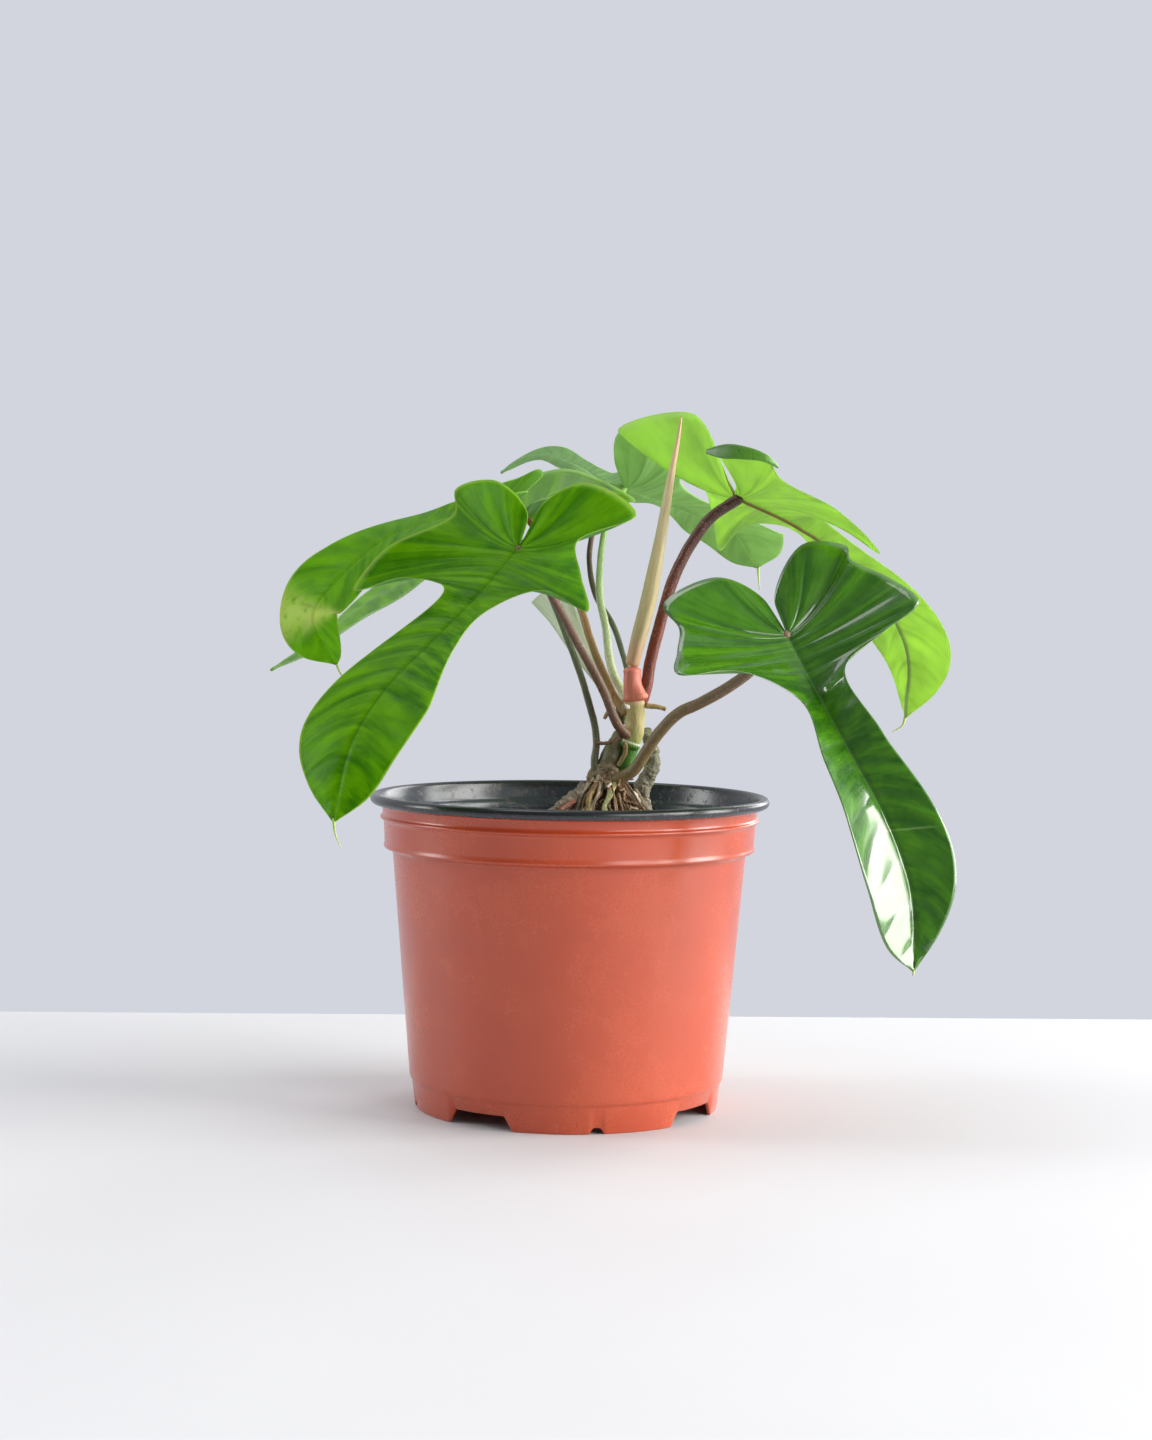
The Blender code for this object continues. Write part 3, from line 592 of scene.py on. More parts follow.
# Each stalk: its skin, its radius at the foot and the head, and its way.
STALKS = {
    "front_left": ("petiole_purple_brown", 1.6, 1.2, ((20.6, .6, 120.2), (16.2, -4.6, 123.4),
        (10.3, -6.7, 136), (1.4, -10.3, 152), (-6.5, -13, 166))),
    "left": ("petiole_dark_green", 1.2, 1.0, ((9.2, -.6, 107), (8, 0, 110.6), (8.4, 1.8, 119),
        (4.4, 3.6, 136), (-1.4, 6, 152), (-9.6, 9, 171), (-17.5, 14, 184))),
    "far_left": ("petiole_tan", 1.4, 1.1, ((17.6, .8, 129), (14.6, 2.2, 132.8), (12, 3.6, 138),
        (6, 8.6, 152), (2.9, 12.5, 161.5), (-5.6, 25, 178))),
    "rear": ("petiole_dim_green", 1.0, .9, ((20.5, 7.5, 134), (17, 18, 147), (13.5, 27, 157),
        (8, 36, 166), (5.4, 47, 178), (6.6, 60, 190))),
    "rear_right": ("petiole_pale_green", 1.5, .9, ((18.4, 3.6, 130.4), (17.3, 6.6, 133.8),
        (13.7, 10, 141), (10.9, 21, 157), (9, 28, 166), (9, 36, 177), (11, 48, 191))),
    "top_right": ("petiole_red", 2.0, 1.8, ((22.0, .9, 131.0), (23.2, .6, 133.4), (25.7, 1, 146),
        (28.9, 2.1, 159), (32.6, 3.2, 172), (38.2, 4.3, 183.6), (45.2, 5, 193))),
    "front_right": ("petiole_olive_brown", 2.0, 1.7, ((13.6, -2.6, 105.8), (16.6, -3.6, 107.6),
        (20.2, -5, 110), (24.5, -7.3, 116.6), (28.9, -10, 123.3), (34.5, -12.9, 129.3),
        (41.3, -15.6, 132.8), (53.3, -20.7, 140.5))),
}
STRAP = ((-9.6, 16, 167.5), (-4.1, 15.6, 161), (2.2, 14.6, 150.3), (8, 13, 141.5),
         (13, 10.8, 134))
STRAP_HALF_WIDTH = (5.4, 4.9, 3.9, 2.9, 2.0)
CAP_RINGS = 6


def rod_shape(points, radii, rings=120, sides=36, relief=None, close=1.0, flat=None):
    """A rod along a smooth curve: at share s and turn a it stands r(s) cos a to one side and
    r(s) sin a to the other, plus what relief(s, a, place) adds; its ends close as half domes
    whose depth is close times the radius there.  flat: half its thickness, where it is a strap.
    Gives points, faces and the rod chart."""
    line = through(points, rings)
    length = np.linalg.norm(np.diff(line, axis=0), axis=1).sum()
    share = np.linspace(0, 1, rings)
    radius = smooth(share, np.linspace(0, 1, len(radii)), radii)
    along = unit(np.gradient(line, axis=0))
    across = unit(np.cross(along, (.12, -1, .2)))
    other = np.cross(across, along)
    cap = np.linspace(0, math.pi / 2, CAP_RINGS + 1)[1:]
    dome = np.r_[np.cos(cap[::-1]), np.ones(rings), np.cos(cap)]
    reach = np.r_[-np.sin(cap[::-1]) * radius[0], np.zeros(rings), np.sin(cap) * radius[-1]] * close
    if flat is not None:
        reach = reach * flat / radius.max()
    pick = np.clip(np.arange(-CAP_RINGS, rings + CAP_RINGS), 0, rings - 1)
    line = line[pick] + along[pick] * reach[:, None]
    width = (radius[pick] * dome)[:, None]
    depth = width if flat is None else np.full_like(width, flat) * dome[:, None]
    turn = turns(sides)[None, :]
    place = (line[:, None] + across[pick][:, None] * (width * np.cos(turn))[..., None]
             + other[pick][:, None] * (depth * np.sin(turn))[..., None])
    if relief is not None:
        lift = relief(share[pick][:, None], turn, place) * dome[:, None]
        place = place + (across[pick][:, None] * np.cos(turn)[..., None]
                         + other[pick][:, None] * np.sin(turn)[..., None]) * lift[..., None]
    chart = np.stack(np.broadcast_arrays(share[pick][:, None], turn / (2 * math.pi),
                                         share[pick][:, None] * length), -1)
    return place.reshape(-1, 3), sheet_faces(len(line), sides, wrap=True), chart.reshape(-1, 3)


def add_rod(name, node, points, radii, finish, slot=None, **shape):
    place, faces, chart = rod_shape(points, radii, **shape)
    add_piece(name, node, place, faces, [finish], None, {"rod": chart}, merge=.004)


def add_rods(name, rods, finish, slot, **shape):
    """Many thin rods as one piece: each is (points, radii)."""
    places, quads, charts = zip(*(rod_shape(points, radii, **shape) for points, radii in rods))
    starts = np.cumsum([0] + [len(place) for place in places[:-1]])
    faces = np.vstack([rod + start for rod, start in zip(quads, starts)])
    add_piece(name, None, np.vstack(places), faces, [finish], None, {"rod": np.vstack(charts)},
              merge=.002)


def skin_finish(name, foot, head, streak, speck, rough, speck_size=.9, bump=.1, speck_share=.5,
                shine=.5):
    """Stalk or root skin: one colour that turns into another along the rod, lengthwise
    streaks and small raised specks."""
    f = Finish(name)
    share, _, length = f.chart("rod")
    x, y, _ = f.place.parts()
    base = f.mix(share.rise(.05, .95), foot, head)
    lines = f.grain(f.vector(x * 2.2, y * 2.2, length * .12), 1.0, 3.0)
    base = f.mix(lines.rise(.4, .7) * .7, base, streak)
    dots = f.cells(f.place, speck_size).fall(.12, .34)
    patch = f.grain(f.place, .35, 2.0).rise(.35, .6)
    base = f.mix(dots * patch * speck_share, base, speck)
    height = dots * .6 + lines * .5 + f.grain(f.place, 2.5, 2.0) * .3
    return f.done(f.shader(base, lines * .12 + rough, f.bump(height, bump, .8),
                           Specular_IOR_Level=shine))


def yellow_skin():
    """The upper stem: green foot, white leaf scar, streaked yellow, tan head."""
    f = Finish("stem_yellow")
    share = f.chart("rod")[0]
    x, y, z = f.place.parts()
    streaks = f.grain(f.vector(x * 3, y * 3, z * .5), 1.0, 3.0).rise(.35, .68)
    body = f.mix(share.rise(.0, .55), (.30, .36, .07), (.52, .42, .16))
    body = f.mix(streaks * .5, body, (.26, .27, .08))
    body = f.mix(share.near(.085, .03), body, (.74, .76, .66))
    body = f.mix(share.fall(.04, .07), body, (.07, .20, .02))
    body = f.mix(share.rise(.86, .97) * .6, body, (.62, .46, .26))
    return f.done(f.shader(body, streaks * .1 + .42, f.bump(streaks, .12, .7)))


def cream_skin():
    """The spear: pink at both ends, a green flush along one side and a thin brown seam."""
    f = Finish("spear_cream")
    share, turn, length = f.chart("rod")
    grain = f.grain(f.vector(turn * 14, length * .10), 1.2, 3.0).rise(.32, .7)
    body = f.mix(grain, (.60, .50, .25), (.70, .58, .36))
    body = f.mix(turn.near(.50, .16) * share.rise(.95, .3, 0.0, 1.0) * .65, body, (.30, .42, .10))
    body = f.mix(share.rise(.16, .0, 0.0, 1.0) * .75, body, (.70, .36, .22))
    body = f.mix(share.rise(.62, 1.0) * .65, body, (.62, .30, .20))
    seam = turn.near(.86, .012)
    body = f.mix(seam * .6, body, (.40, .30, .12))
    skin = f.shader(body, grain * .1 + .36, f.bump(grain * .5 - seam, .12, .7))
    return f.lit_through(skin, .18, (.8, .66, .36))


def papery_skin():
    """The cataphyll: pale, ribbed lengthwise and half see-through."""
    f = Finish("cataphyll_papery")
    share, turn, length = f.chart("rod")
    ribs = f.vector((turn * 6.2832).one("COSINE") * 5, length * .05)
    ribs = f.grain(ribs, 1.6, 2.0).rise(.3, .7)
    body = f.mix(ribs, (.66, .74, .55), (.84, .88, .76))
    body = f.mix(share.rise(.55, 1.0) * .6, body, (.52, .66, .34))
    skin = f.shader(body, .42, f.bump(ribs, .1, .7))
    return f.lit_through(skin, .45, (.86, .92, .76))


def knobbly(size, height, seed, rings=0.0):
    def relief(s, a, place):
        """Lumps of three sizes, with ring-like creases where rings is set."""
        bumps = height * (lumps(place, size, seed) + .5 * lumps(place, size * .4, seed + 9)
                          + .25 * lumps(place, size * .17, seed + 19))
        return bumps + rings * np.minimum(0, np.sin(s * 26 + 1.6 * np.sin(a + s * 5)) + .2)
    return relief


def rolled(s, a, place):
    """The spear's rolled blade: its outer edge laps over as a low step that slowly turns."""
    turn = (a / (2 * math.pi) - .86 + .10 * np.sin(s * 3)) % 1
    return (.34 * turn - .14) * np.clip(1.15 - s, 0, 1) + .05 * np.sin(a * 5 + s * 6)


def collar(s, a, place):
    """The sheath flares at its foot and folds back at its mouth."""
    rightward = np.clip(np.cos(a), 0, 1) * hump(s, 0, .35)
    return (.30 * hump(s, 0, .12) + 1.3 * rightward + .22 * hump(s, 1, .10)
            + .10 * np.sin(a * 3 + s * 2) + .05 * lumps(place, 1.5, 3))


def joint(s, a, place):
    """The stem's rings: a raised scar at its foot and a swollen node at its head."""
    return (.35 * hump(s, .02, .05) + .28 * hump(s, .97, .10) + .16 * lumps(place, 2.2, 5)
            + .06 * lumps(place, .8, 6))


# Each length of stem or root: its skin, its relief, its radii and its way.  A relief is a function
# or the size, height, seed and rings of knobbly.
STEMS = {
    "stem_lower": ("stem_grey_green", (2.6, .35, 11, .08), (2.6, 2.9, 3.1, 3.6),
        ((16.4, .6, 121), (14.2, 1, 117), (12.6, 1.4, 113), (11.6, 1.6, 108.8))),
    "stem_green": ("stem_bright_green", (3, .16, 12), (2.7, 2.6, 2.3), ((19.9, .4, 119),
        (18.8, .6, 114.6), (17.2, .8, 108))),
    "stem_upper": ("stem_yellow", joint, (3.2, 3.4, 3.1, 3.1), ((19.2, 0, 117.8), (20.6, 0, 123),
        (20.9, 0, 127), (20.7, 0, 132.4))),
    "stem_node": ("stem_grey_green", (2.2, .3, 13), (1.2, 2.0, 2.4), ((16.8, 5.2, 125),
        (16.6, 5, 128.5), (16.6, 4.8, 131.6))),
    "old_stub": ("old_stub_bark", (2.6, .8, 14), (1.6, 2.4, 2.6, 2.2, 2.8), ((25, 12, 122.5),
        (27, 12, 114), (26.4, 12, 108.5), (24, 12, 103.5), (24.6, 12, 92.8))),
    "sheath": ("sheath_coral", collar, (3.1, 3.0, 2.7), ((20.3, -1, 133.5), (19.8, -1, 137),
        (19.6, -1, 142.4))),
    "spear": ("spear_cream", rolled, (2.3, 2.6, 2.5, 1.9, 1.5, .9, .3), ((19.8, -1, 144.8),
        (21.4, -1, 152), (24, -1, 162.5), (28.5, -1, 187), (31.4, -1, 206), (33.6, -1, 219),
        (34.3, -1, 224.5))),
    "aerial_root_right": ("aerial_root_straw", (1.4, .12, 15), (.9, .75, .7), ((24.6, -1, 130.9),
        (27.6, -1.2, 130.8), (30.6, -1, 130.1))),
    "aerial_root_front": ("root_white", (1.4, .12, 16), (.9, .8), ((18.4, -4.3, 130.6),
        (17, -5.6, 130.9))),
    "aerial_root_rear": ("aerial_root_straw", (1.4, .12, 17), (.8, .7, .6), ((13.2, 5.4, 130),
        (11.8, 6, 128), (11, 6.4, 126.4))),
    "aerial_root_brown": ("root_brown", (1.2, .10, 18), (.7, .65, .6), ((15.4, -3.9, 120.8),
        (13.2, -3.8, 119.2), (8.8, -1.2, 118.6))),
    "aerial_root_yellow": ("root_ochre", (1.4, .12, 19), (.7, .75, .6), ((17.6, -4, 119),
        (17.8, -3.9, 116), (15.6, -3.9, 111.6))),
    "root_thick": ("root_grey_bark", (1.9, .55, 20, .12), (1.9, 2.0, 1.7, 1.5, 1.2),
        ((4.2, -4.4, 104.6), (2, -6, 101.8), (-1, -8.2, 99.8), (-6, -12, 96.6),
        (-10, -14.5, 92))),
    "root_red": ("root_red_bark", (1.2, .25, 21), (.7, .8, .6), ((1.2, -10.6, 100.4),
        (-2.6, -14, 98), (-5, -17.4, 93))),
    "root_ochre": ("root_ochre", (1.3, .25, 22), (1.1, .8, .9, .7, .55), ((8.6, -4.4, 105.6),
        (6.2, -9, 101.4), (5.9, -11.5, 98), (3.6, -14, 95), (3.0, -15, 92.4))),
    "root_pale": ("root_pale_green", (1.4, .22, 23), (.9, 1.0, .75, .85, .6),
        ((14.2, -4.6, 105.6), (12.9, -9, 102.2), (11.2, -11.6, 98.8), (11.6, -13.6, 95.4),
        (10.4, -15, 92.4))),
    "root_curl": ("root_brown", (.9, .16, 24), (.6, .5, .45, .4), ((17.6, -5.8, 103.4),
        (17.6, -7.6, 100.4), (20.6, -8, 99.7), (24, -9, 97.6))),
    "rootlet": ("root_brown", (.9, .14, 25), (.5, .5, .45, .4), ((15.6, -7.4, 102.6),
        (16.4, -9.6, 99.4), (17.4, -12, 96), (17.6, -13.6, 92.4))),
    "root_rear": ("root_bark", (1.4, .25, 26), (1.0, .9, .9, .8), ((21.2, 4.2, 103),
        (23.4, 4.4, 99), (26.4, 3, 95), (29, 2, 91))),
    "root_white": ("root_white", (1.2, .25, 27), (1.0, 1.1, .8), ((18.6, -2.4, 103.6),
        (20.4, -3.8, 102.2), (22.4, -4.2, 99.8))),
    "root_crown": ("root_bark", (3.2, 1.3, 30, .05), (4.6, 5.6, 6.3, 6.9, 7.6),
        ((12.6, 1.2, 110.5), (11.6, 1.2, 107), (11.4, .8, 102.5), (12.2, .6, 98),
        (12.4, .6, 95.6))),
}


def make_stalks():
    for seed, (name, (skin, thick, slim, points)) in enumerate(STALKS.items()):
        rib = RIBS[name]
        start, _, up = rib.frame(np.array(0.0))
        ahead = unit(rib.line[RIB_BACK // 2 + 1] - rib.line[RIB_BACK // 2])
        end = start - up * (slim * .62) + ahead * .8

        def relief(s, a, place, seed=seed):
            """Swollen where it meets the stem and the blade, and slightly uneven."""
            swell = .28 * hump(s, 0, .05) + .12 * hump(s, 1, .05)
            return swell + .06 * lumps(place, 3.0, seed) + .03 * lumps(place, .9, seed + 40)
        add_rod(f"petiole_{name}", f"stalk_{name}", (*points, tuple(end)),
                (thick, (thick + slim) / 2, slim), FINISHES[skin], rings=200, sides=40,
                relief=relief)


def make_stems():
    sizes = {"root_crown": (150, 120, .35)}
    sizes.update(dict.fromkeys(("spear", "old_stub", "root_thick"), (220, 48, .5)))
    for node, (skin, relief, radii, points) in STEMS.items():
        rings, sides, close = sizes.get(node, (90, 32, .5))
        add_rod(f"{node}_grown", node, points, radii, FINISHES[skin], rings=rings, sides=sides,
                relief=relief if callable(relief) else knobbly(*relief), close=close)
    add_rod("cataphyll_grown", "cataphyll", STRAP, STRAP_HALF_WIDTH, papery_skin(), rings=140,
            sides=48, relief=lambda s, a, place: .12 * np.cos(6 * np.cos(a)) * (1 - s), flat=.35)


def make_fine_roots():
    """Thin curly roots that spread from the crown to the soil, and shorter ones that end in the
    air: each bends through three random places and tapers."""
    pick = np.random.default_rng(71)
    for name, count, skin, thick in (("fine_roots_brown", 44, "fine_root_brown", .42),
                                     ("fine_roots_pale", 20, "fine_root_pale", .5)):
        rods = []
        for _ in range(count):
            turn = pick.normal(-1.5, 1.1)
            out = np.array((math.cos(turn), math.sin(turn), 0))
            high, reach = pick.uniform(99, 108.5), pick.uniform(9, 20)
            start = np.array((11.6, .6, high)) + out * pick.uniform(4.2, 6.2)
            end = np.array((11.8, .4, pick.uniform(91.0, 93.2))) + out * reach
            if pick.uniform() < .3:
                end = start + out * pick.uniform(2, 5) + (0, 0, pick.uniform(-3, 1.5))
            bends = [start + (end - start) * share + pick.uniform(-1.5, 1.5, 3) + out * .8
                     for share in (.3, .62)]
            radius = thick * pick.uniform(.55, 1.25)
            rods.append(((start, *bends, end), (radius * 1.2, radius, radius * .8, radius * .55)))
        add_rods(name, rods, FINISHES[skin], "root_crown", rings=36, sides=10,
                 relief=lambda s, a, place: .10 * lumps(place, .8, 72))


def make_drip_tips():
    """The thread that a blade draws out to, and the turned-up edge of a basal lobe."""
    rods = [(((-70.9, -64.9, 98), (-70.4, -65.2, 94), (-68.8, -65.2, 90)), (.55, .3, .16)),
            (((-79.2, 25, 143), (-77.8, 24.6, 139.6), (-75.6, 24.2, 137.4), (-73.9, 24, 138.4)),
             (.5, .35, .25, .15)),
            (((69, 124, 179), (69.2, 124, 174), (69.6, 124, 170)), (.7, .35, .18)),
            (((115, 45, 127), (113.9, 45, 123.6), (110.6, 45, 121.4)), (.6, .3, .16)),
            (((103.9, -70, 56), (103.8, -70.2, 54.2)), (.5, .25))]
    add_rods("drip_tips", rods, FINISHES["drip_tip"], "leaf_left", rings=24, sides=12)
    along, out, above = np.array(((-23, 16, 4), (-21, 21, 4.2), (-17, 28, 4.4), (-10, 33, 4.2),
                                  (-6, 33.4, 3.2))).T
    line, across, up = RIBS["top_right"].frame(along)
    margin = line + across * out[:, None] + up * above[:, None]
    add_rod("blade_turned_edge", None, margin - (0, 0, .4), (.8, 2.4, 2.3, 1.5, .4),
            FINISHES["turned_edge"], "leaf_top_right", rings=60, sides=24, flat=.4)


FINISHES = {name: skin_finish(name, *row) for name, row in SKINS.items()}
FINISHES.update(stem_yellow=yellow_skin(), spear_cream=cream_skin())
make_stalks()
make_stems()
make_fine_roots()
make_drip_tips()


# ---------------------------------------------------------------- pot and soil

FOOT_R, FLOOR_Z, WALL = 49.4, 9.2, 1.0
LIP_R = 1.65                                         # of the bead, seen in section
FOOT_TOP = 8.6                                       # where the foot's ring ends
SOIL_R, SOIL_Z = 57.6, 88
MOUND, MOUND_X, MOUND_SPREAD = 4, 14, 320            # height, middle and square of its width
RIM_OF_CRUMBS, LITTER_R = 48, 55                     # where the top falls off; where bits end
BALL_ROWS, BALL_COLUMNS = 7, 8                       # of one grain or chip


def rounded(corners, bend, steps=4):
    """A profile with its corners turned into arcs of about that radius: each corner becomes the
    points (1-t)^2 a + 2t(1-t) c + t^2 b between places a and b on its two sides."""
    corners = np.asarray(corners, float)
    out = [corners[0]]
    for before, corner, after in zip(corners[:-2], corners[1:-1], corners[2:]):
        back, on = before - corner, after - corner
        cut = min(bend, np.linalg.norm(back) * .45, np.linalg.norm(on) * .45)
        a, b = corner + unit(back) * cut, corner + unit(on) * cut
        t = np.linspace(0, 1, steps)[:, None]
        out += list((1 - t) ** 2 * a + 2 * t * (1 - t) * corner + t * t * b)
    out.append(corners[-1])
    return np.array(out)


def foot_edge(turn):
    """Height of the foot's lower edge round the pot: four wide openings with slanted sides, and
    a small one midway between each two."""
    def opening(centre, half_wide, slant, height):
        off = (turn - math.radians(centre) + math.pi) % (2 * math.pi) - math.pi
        across = np.abs(FOOT_R * np.sin(np.clip(off, -math.pi / 2, math.pi / 2)))
        return np.clip((half_wide - across) / slant, 0, height)
    edge = 0 * turn
    for n in range(4):
        edge = np.maximum(edge, opening(-123.5 + 90 * n, 12.14, .606, 4.6))
        edge = np.maximum(edge, opening(-78.5 + 90 * n, 2.35, .577, 1.9))
    return edge


def make_pot():
    """A closed turned profile: (r, z) at each step carried round the axis, with the foot's
    lower stretch squeezed up to the height of its openings."""
    lip = [(RIM_R - LIP_R + LIP_R * math.cos(a), POT_H - LIP_R + LIP_R * math.sin(a))
           for a in np.radians(np.linspace(-70, 165, 16))]
    outer = rounded([(FOOT_R - 6, FLOOR_Z), (FOOT_R - 1.1, FLOOR_Z - .1), (FOOT_R - 1.0, 0),
                     (FOOT_R, 0), (50.5, 8.5), (50.75, 9.0), (51.05, 9.3), (51.3, 10.2),
                     (57.45, 82.2), (57.65, 83.3), (58.3, 83.9), (59.9, 84.1), (60.55, 84.7),
                     (60.2, 85.9), (60.5, 92.7), (60.9, 93.4), (61.65, 93.8), (61.7, 94.4),
                     (61.1, 94.9), (60.9, 95.4), (61.1, 98.1), (62.2, 98.55), lip[0]], .55)
    inner = rounded([lip[-1], (61.2, 98.6), (60.7, 95.6), (59.8, 94.4), (59.4, 93.0),
                     (59.15, 86.2), (58.6, 85.3), (57.0, 84.2), (56.5, 82.6),
                     (50.3, FLOOR_Z + WALL + 1), (49.2, FLOOR_Z + WALL), (30, FLOOR_Z + WALL)], .8)
    profile = np.vstack([[(0, FLOOR_Z)], outer, lip[1:-1], inner, [(0, FLOOR_Z + WALL)]])
    turn = turns(600)
    r, z = profile[:, :1], profile[:, 1:]
    rows = np.arange(len(profile))[:, None]
    low = (rows < len(outer)) & (r > FOOT_R - 2) & (z < FOOT_TOP)
    z = np.where(low, foot_edge(turn) + z * (FOOT_TOP - foot_edge(turn)) / FOOT_TOP, z)
    lean = .10 * np.sin(2 * turn + .6) * np.clip(z / POT_H, 0, 1)
    points = turned(r + lean, turn, z)
    faces = sheet_faces(len(profile), len(turn), wrap=True)
    which = (np.arange(len(faces)) // len(turn) >= len(outer)).astype(int)

    f = Finish("pot_terracotta")
    place = f.place
    x, y, height = place.parts()
    cloud = f.grain(place, .045, 3.0, .55).rise(.3, .7)
    fine = f.grain(place, 1.7, 3.0, .7)
    body = f.mix(cloud * .6, (.43, .052, .013), (.50, .072, .019))
    body = f.mix(fine.rise(.52, .75) * .25, body, (.56, .13, .07))
    scuff = f.grain(f.vector(x, y, height * .4), .30, 4.0, .7).rise(.62, .74)
    body = f.mix(scuff * height.rise(14, 2) * .35, body, (.66, .34, .26))
    rough = fine * .06 + cloud * .03 + .22
    red = f.done(f.shader(body, rough, f.bump(fine, .02, .5), Specular_IOR_Level=.55,
                          Coat_Weight=.45, Coat_Roughness=.34))

    f = Finish("pot_black")
    place = f.place
    x, _, height = place.parts()
    fine = f.grain(place, 1.2, 3.0, .7)
    dust = f.grain(place, .30, 4.0, .75).rise(.54, .70) * height.rise(101.2, 99.0)
    dust = dust * (x - AXIS[0]).rise(-70, 40, .25, 1.0)
    # painted reflection: below the lip the inner wall is painted a paler bluish grey, standing in
    # for the sky mirrored in the black gloss
    painted_sky_reflection = height.rise(100.4, 98.6)
    body = f.mix(fine * .5, (.009, .010, .012), (.017, .018, .021))
    body = f.mix(painted_sky_reflection * .8, body, (.035, .045, .058))
    body = f.mix(dust * .75, body, (.13, .065, .035))
    rough = dust * .4 + fine * .14 + .18
    black = f.done(f.shader(body, rough, f.bump(fine * .5 + dust, .06, .6),
                            Specular_IOR_Level=.6))
    add_piece("pot_moulded", "pot", points, faces, [red, black], which, merge=.002)


def soil_height(x, y):
    """The soil's top: a low mound by the stem, lumps of three sizes and a rim where the
    crumbs lean on the wall."""
    place = np.stack(np.broadcast_arrays(x, y, 0 * x), -1)
    away = (x - MOUND_X) ** 2 + y ** 2
    r = np.sqrt(x * x + y * y)
    rough = (1.1 * lumps(place, 9, 50) + .75 * lumps(place, 3.6, 51)
             + .45 * lumps(place, 1.5, 52) + .25 * lumps(place, .7, 53))
    return (SOIL_Z + MOUND * np.exp(-away / MOUND_SPREAD) + rough
            - .012 * np.clip(r - RIM_OF_CRUMBS, 0, None) ** 2)


def make_soil():
    """A lump on the grid (ring, turn): the rings go out over the top, down the side and in
    under the floor."""
    turn = turns(300)
    out = np.linspace(0, SOIL_R, 170)[:, None]
    top = turned(out, turn, soil_height(out * np.cos(turn), out * np.sin(turn)))
    side = [turned(r, turn, z) for r, z in ((57.4, 85.6), (55.6, 83.0), (50, 18), (49, 12),
                                            (48.4, 10.6), (0, 10.6))]
    points = np.concatenate([top, np.stack(side)])
    f = Finish("soil_crumbs")
    place = f.place
    big = f.grain(place, .22, 4.0, .65)
    small = f.grain(place, 1.1, 4.0, .7)
    bits = f.cells(place, .75)
    body = f.mix(big.rise(.35, .65), (.028, .018, .012), (.075, .047, .030))
    body = f.mix(small.rise(.5, .7) * .6, body, (.13, .085, .055))
    body = f.mix(bits.fall(.10, .2) * big.rise(.5, .6) * .7, body, (.24, .18, .12))
    soil = f.done(f.shader(body, .93, f.bump(small + bits * .8, .8, 1.0), Specular_IOR_Level=.25))
    add_piece("soil_bed", "potting_soil", points, sheet_faces(len(points), 300, wrap=True),
              [soil], merge=.004)


def scattered(name, count, seed, sizes, squash, finish):
    """Bits lying on the soil: each a small ball of 8 by 6 faces, stretched, dented and turned at
    random, at height soil + a little of its size.  One mesh holds them all."""
    pick = np.random.default_rng(seed)
    r = LITTER_R * np.sqrt(pick.uniform(0, 1, count))
    a = pick.uniform(0, 2 * math.pi, count)
    x, y = r * np.cos(a), r * np.sin(a)
    size = pick.uniform(*sizes, count)
    stretch = np.stack([size, size * pick.uniform(.4, .8, count),
                        size * pick.uniform(*squash, count)], -1)
    down = np.linspace(0, math.pi, BALL_ROWS)[:, None]
    ball = turned(np.sin(down), turns(BALL_COLUMNS), np.cos(down)).reshape(-1, 3)
    dents = 1 + .22 * lumps(ball[None] + pick.uniform(0, 90, (count, 1, 3)), .8, seed)
    bx, by, bz = np.moveaxis(ball[None] * dents[..., None] * stretch[:, None], -1, 0)
    yaw, tilt = pick.uniform(0, 2 * math.pi, (count, 1)), pick.uniform(-.5, .5, (count, 1))
    leant = bx * np.cos(tilt) + bz * np.sin(tilt)
    points = np.stack([x[:, None] + leant * np.cos(yaw) - by * np.sin(yaw),
                       y[:, None] + leant * np.sin(yaw) + by * np.cos(yaw),
                       (soil_height(x, y) + stretch[:, 2] * .35)[:, None]
                       + bz * np.cos(tilt) - bx * np.sin(tilt)], -1)
    faces = sheet_faces(BALL_ROWS, BALL_COLUMNS, wrap=True)
    faces = (faces[None] + np.arange(count)[:, None, None] * len(ball)).reshape(-1, 4)
    add_piece(name, None, points, faces, [finish], merge=.002)


def make_litter():
    f = Finish("bark_chip")
    grain = f.grain(f.place, .8, 4.0, .65)
    body = f.mix(grain.rise(.35, .65), (.055, .030, .018), (.17, .10, .06))
    body = f.mix(f.cells(f.place, .4).rise(.2, .7) * .4, body, (.09, .05, .03))
    chip = f.done(f.shader(body, .85, f.bump(grain, .4, .9), Specular_IOR_Level=.3))
    scattered("bark_chips", 420, 61, (.9, 2.6), (.25, .6), chip)
    scattered("soil_grains", 900, 62, (.35, .9), (.5, .9), chip)


make_pot()
make_soil()
make_litter()


# ---------------------------------------------------------------- floor, light and camera

def add_floor():
    """A wide pale table top whose far edge lies behind the plant."""
    f = Finish("floor_white")
    tone = (.62, .62, .63)
    cloud = f.grain(f.place, .01, 3.0).rise(.3, .7)
    body = f.mix(cloud * .5, tone, tuple(.97 * c for c in tone))
    mesh = bpy.data.meshes.new("floor")
    wide, front, back, skew, deep = 2.2, -1.4, .1505, .046, .03
    corners = [(-wide, front, 0), (wide, front, 0), (wide, back + skew * wide, 0),
               (-wide, back - skew * wide, 0)]
    low = [(x, y, -deep) for x, y, _ in corners]
    mesh.from_pydata(corners + low, [], [(0, 1, 2, 3), (7, 6, 5, 4), (0, 4, 5, 1), (1, 5, 6, 2),
                                         (2, 6, 7, 3), (3, 7, 4, 0)])
    mesh.materials.append(f.done(f.shader(body, .6)))
    add_object("floor", mesh)


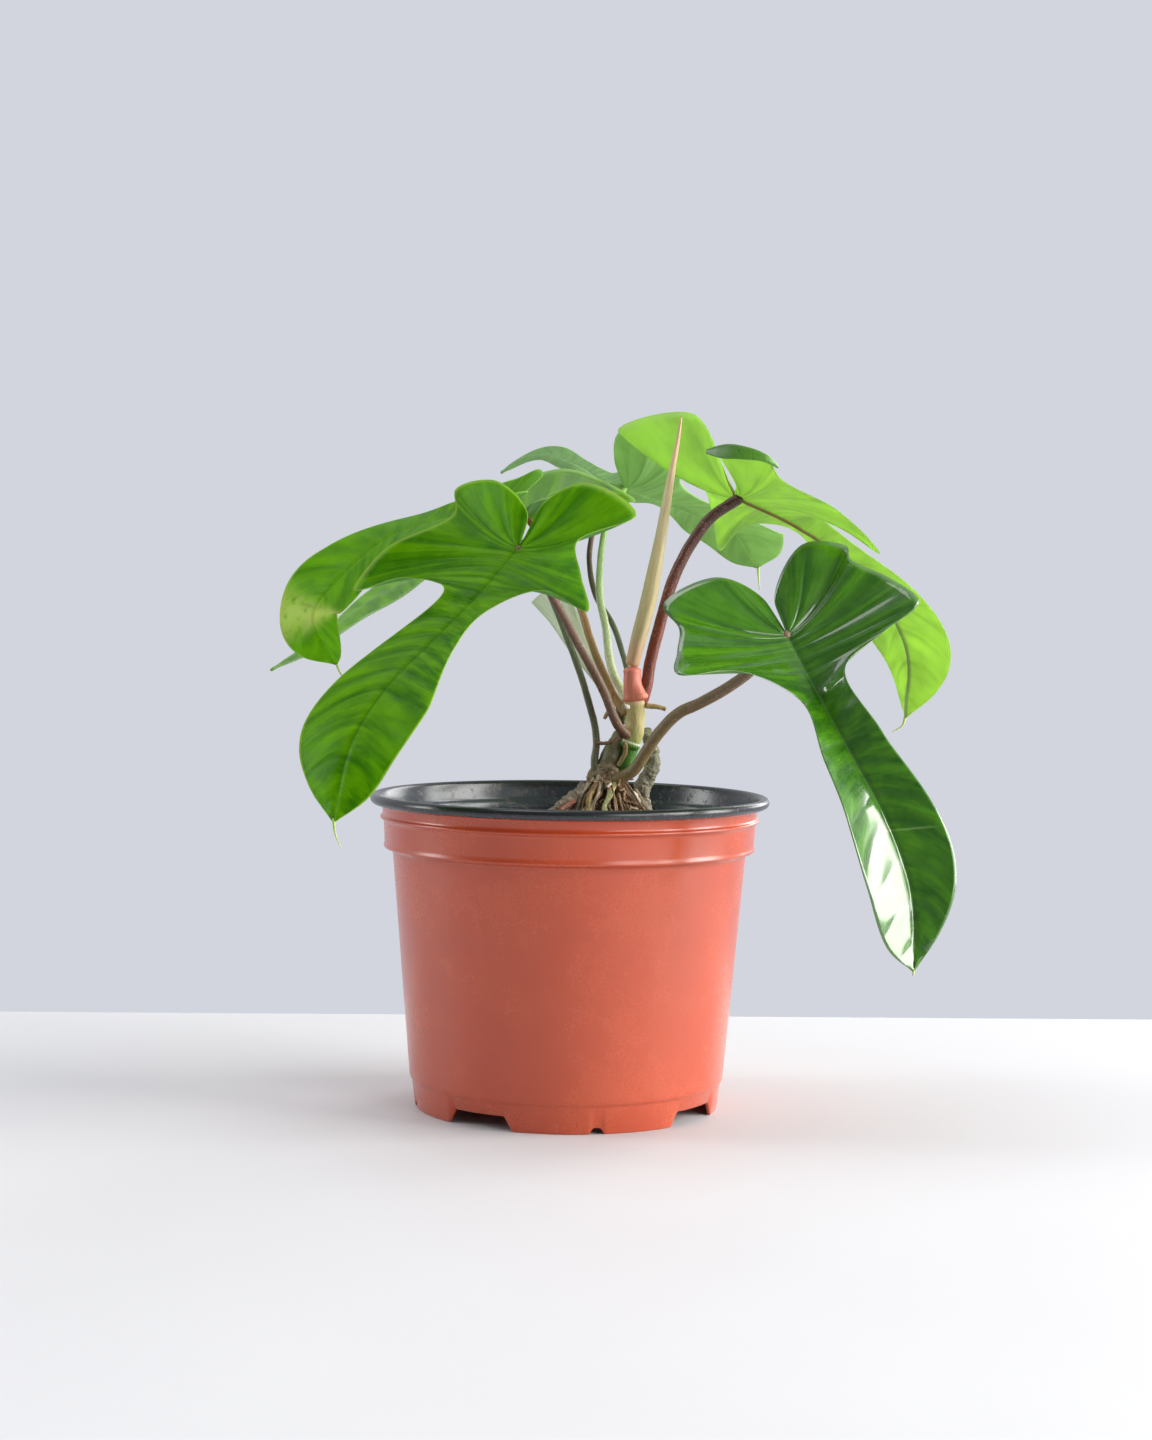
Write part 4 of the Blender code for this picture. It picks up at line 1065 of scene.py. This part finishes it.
def add_light(name, at, aim, size, radiance, colour=(1, 1, 1)):
    """A soft panel at a place in metres that faces a point aim metres above the middle of the
    table; radiance is its own brightness."""
    lamp = bpy.data.lights.new(name, "AREA")
    lamp.shape, lamp.size, lamp.size_y = "RECTANGLE", *size
    lamp.energy = radiance * math.pi * size[0] * size[1]
    lamp.color = colour
    z = unit(np.array(at, float) - (0, 0, aim))
    x = unit(np.cross((0, 0, 1), z))
    stand(add_object(name, lamp), x, np.cross(z, x), z, at)


EYE = (1.6, -822.15, 165.5)                          # millimetres from the pot's foot centre
PITCH, ROLL = .0480, .0145                           # radians: nose down, and to one side
LENS, SENSOR = 63.08625, 36                          # millimetres


def add_camera():
    """In front of the pot's axis and above its rim, looking slightly down."""
    ahead = np.array((0, math.cos(PITCH), -math.sin(PITCH)))
    right = np.array((1.0, 0, 0))
    up = np.cross(right, ahead)
    lens = bpy.data.cameras.new("camera")
    lens.sensor_width, lens.lens = SENSOR, LENS
    camera = add_object("camera", lens)
    stand(camera, right * math.cos(ROLL) + up * math.sin(ROLL),
          up * math.cos(ROLL) - right * math.sin(ROLL), -ahead, (EYE + AXIS) * MM)
    bpy.context.scene.camera = camera


def add_sky():
    """Grey in front, paler behind: what the gloss mirrors and the wall behind the plant."""
    world = bpy.data.worlds.new("studio")
    world.use_nodes = True
    tree = Tree(world.node_tree)
    depth = tree.add("TexCoord", out="Generated").parts()[1]
    fade = tree.add("MapRange", None, {0: depth, 1: -.5, 2: .6})
    paper = tree.mix(fade, (.14, .145, .16), (.645, .665, .725))
    tree.links.new(paper.socket, tree.nodes["Background"].inputs["Color"])
    bpy.context.scene.world = world


add_floor()
for row in (("window_right", (2.75, -.45, 1.05), .1, (2.3, 2.1), 10.5, (1, .985, .96)),
            ("soft_front_right", (1.7, -2.2, .95), .1, (1.2, 1.7), 4.6),
            ("soft_rear_right", (1.6, 2.1, 1.0), .1, (1.3, 1.6), 4.5),
            ("soft_left", (-2.6, .1, 1.1), .1, (.8, 1.9), 6.8),
            ("soft_above", (-.7, .4, 2.6), 0, (1.7, 1.7), 2.2)):
    add_light(*row)
add_camera()
add_sky()
bpy.context.scene.view_settings.view_transform = "Standard"
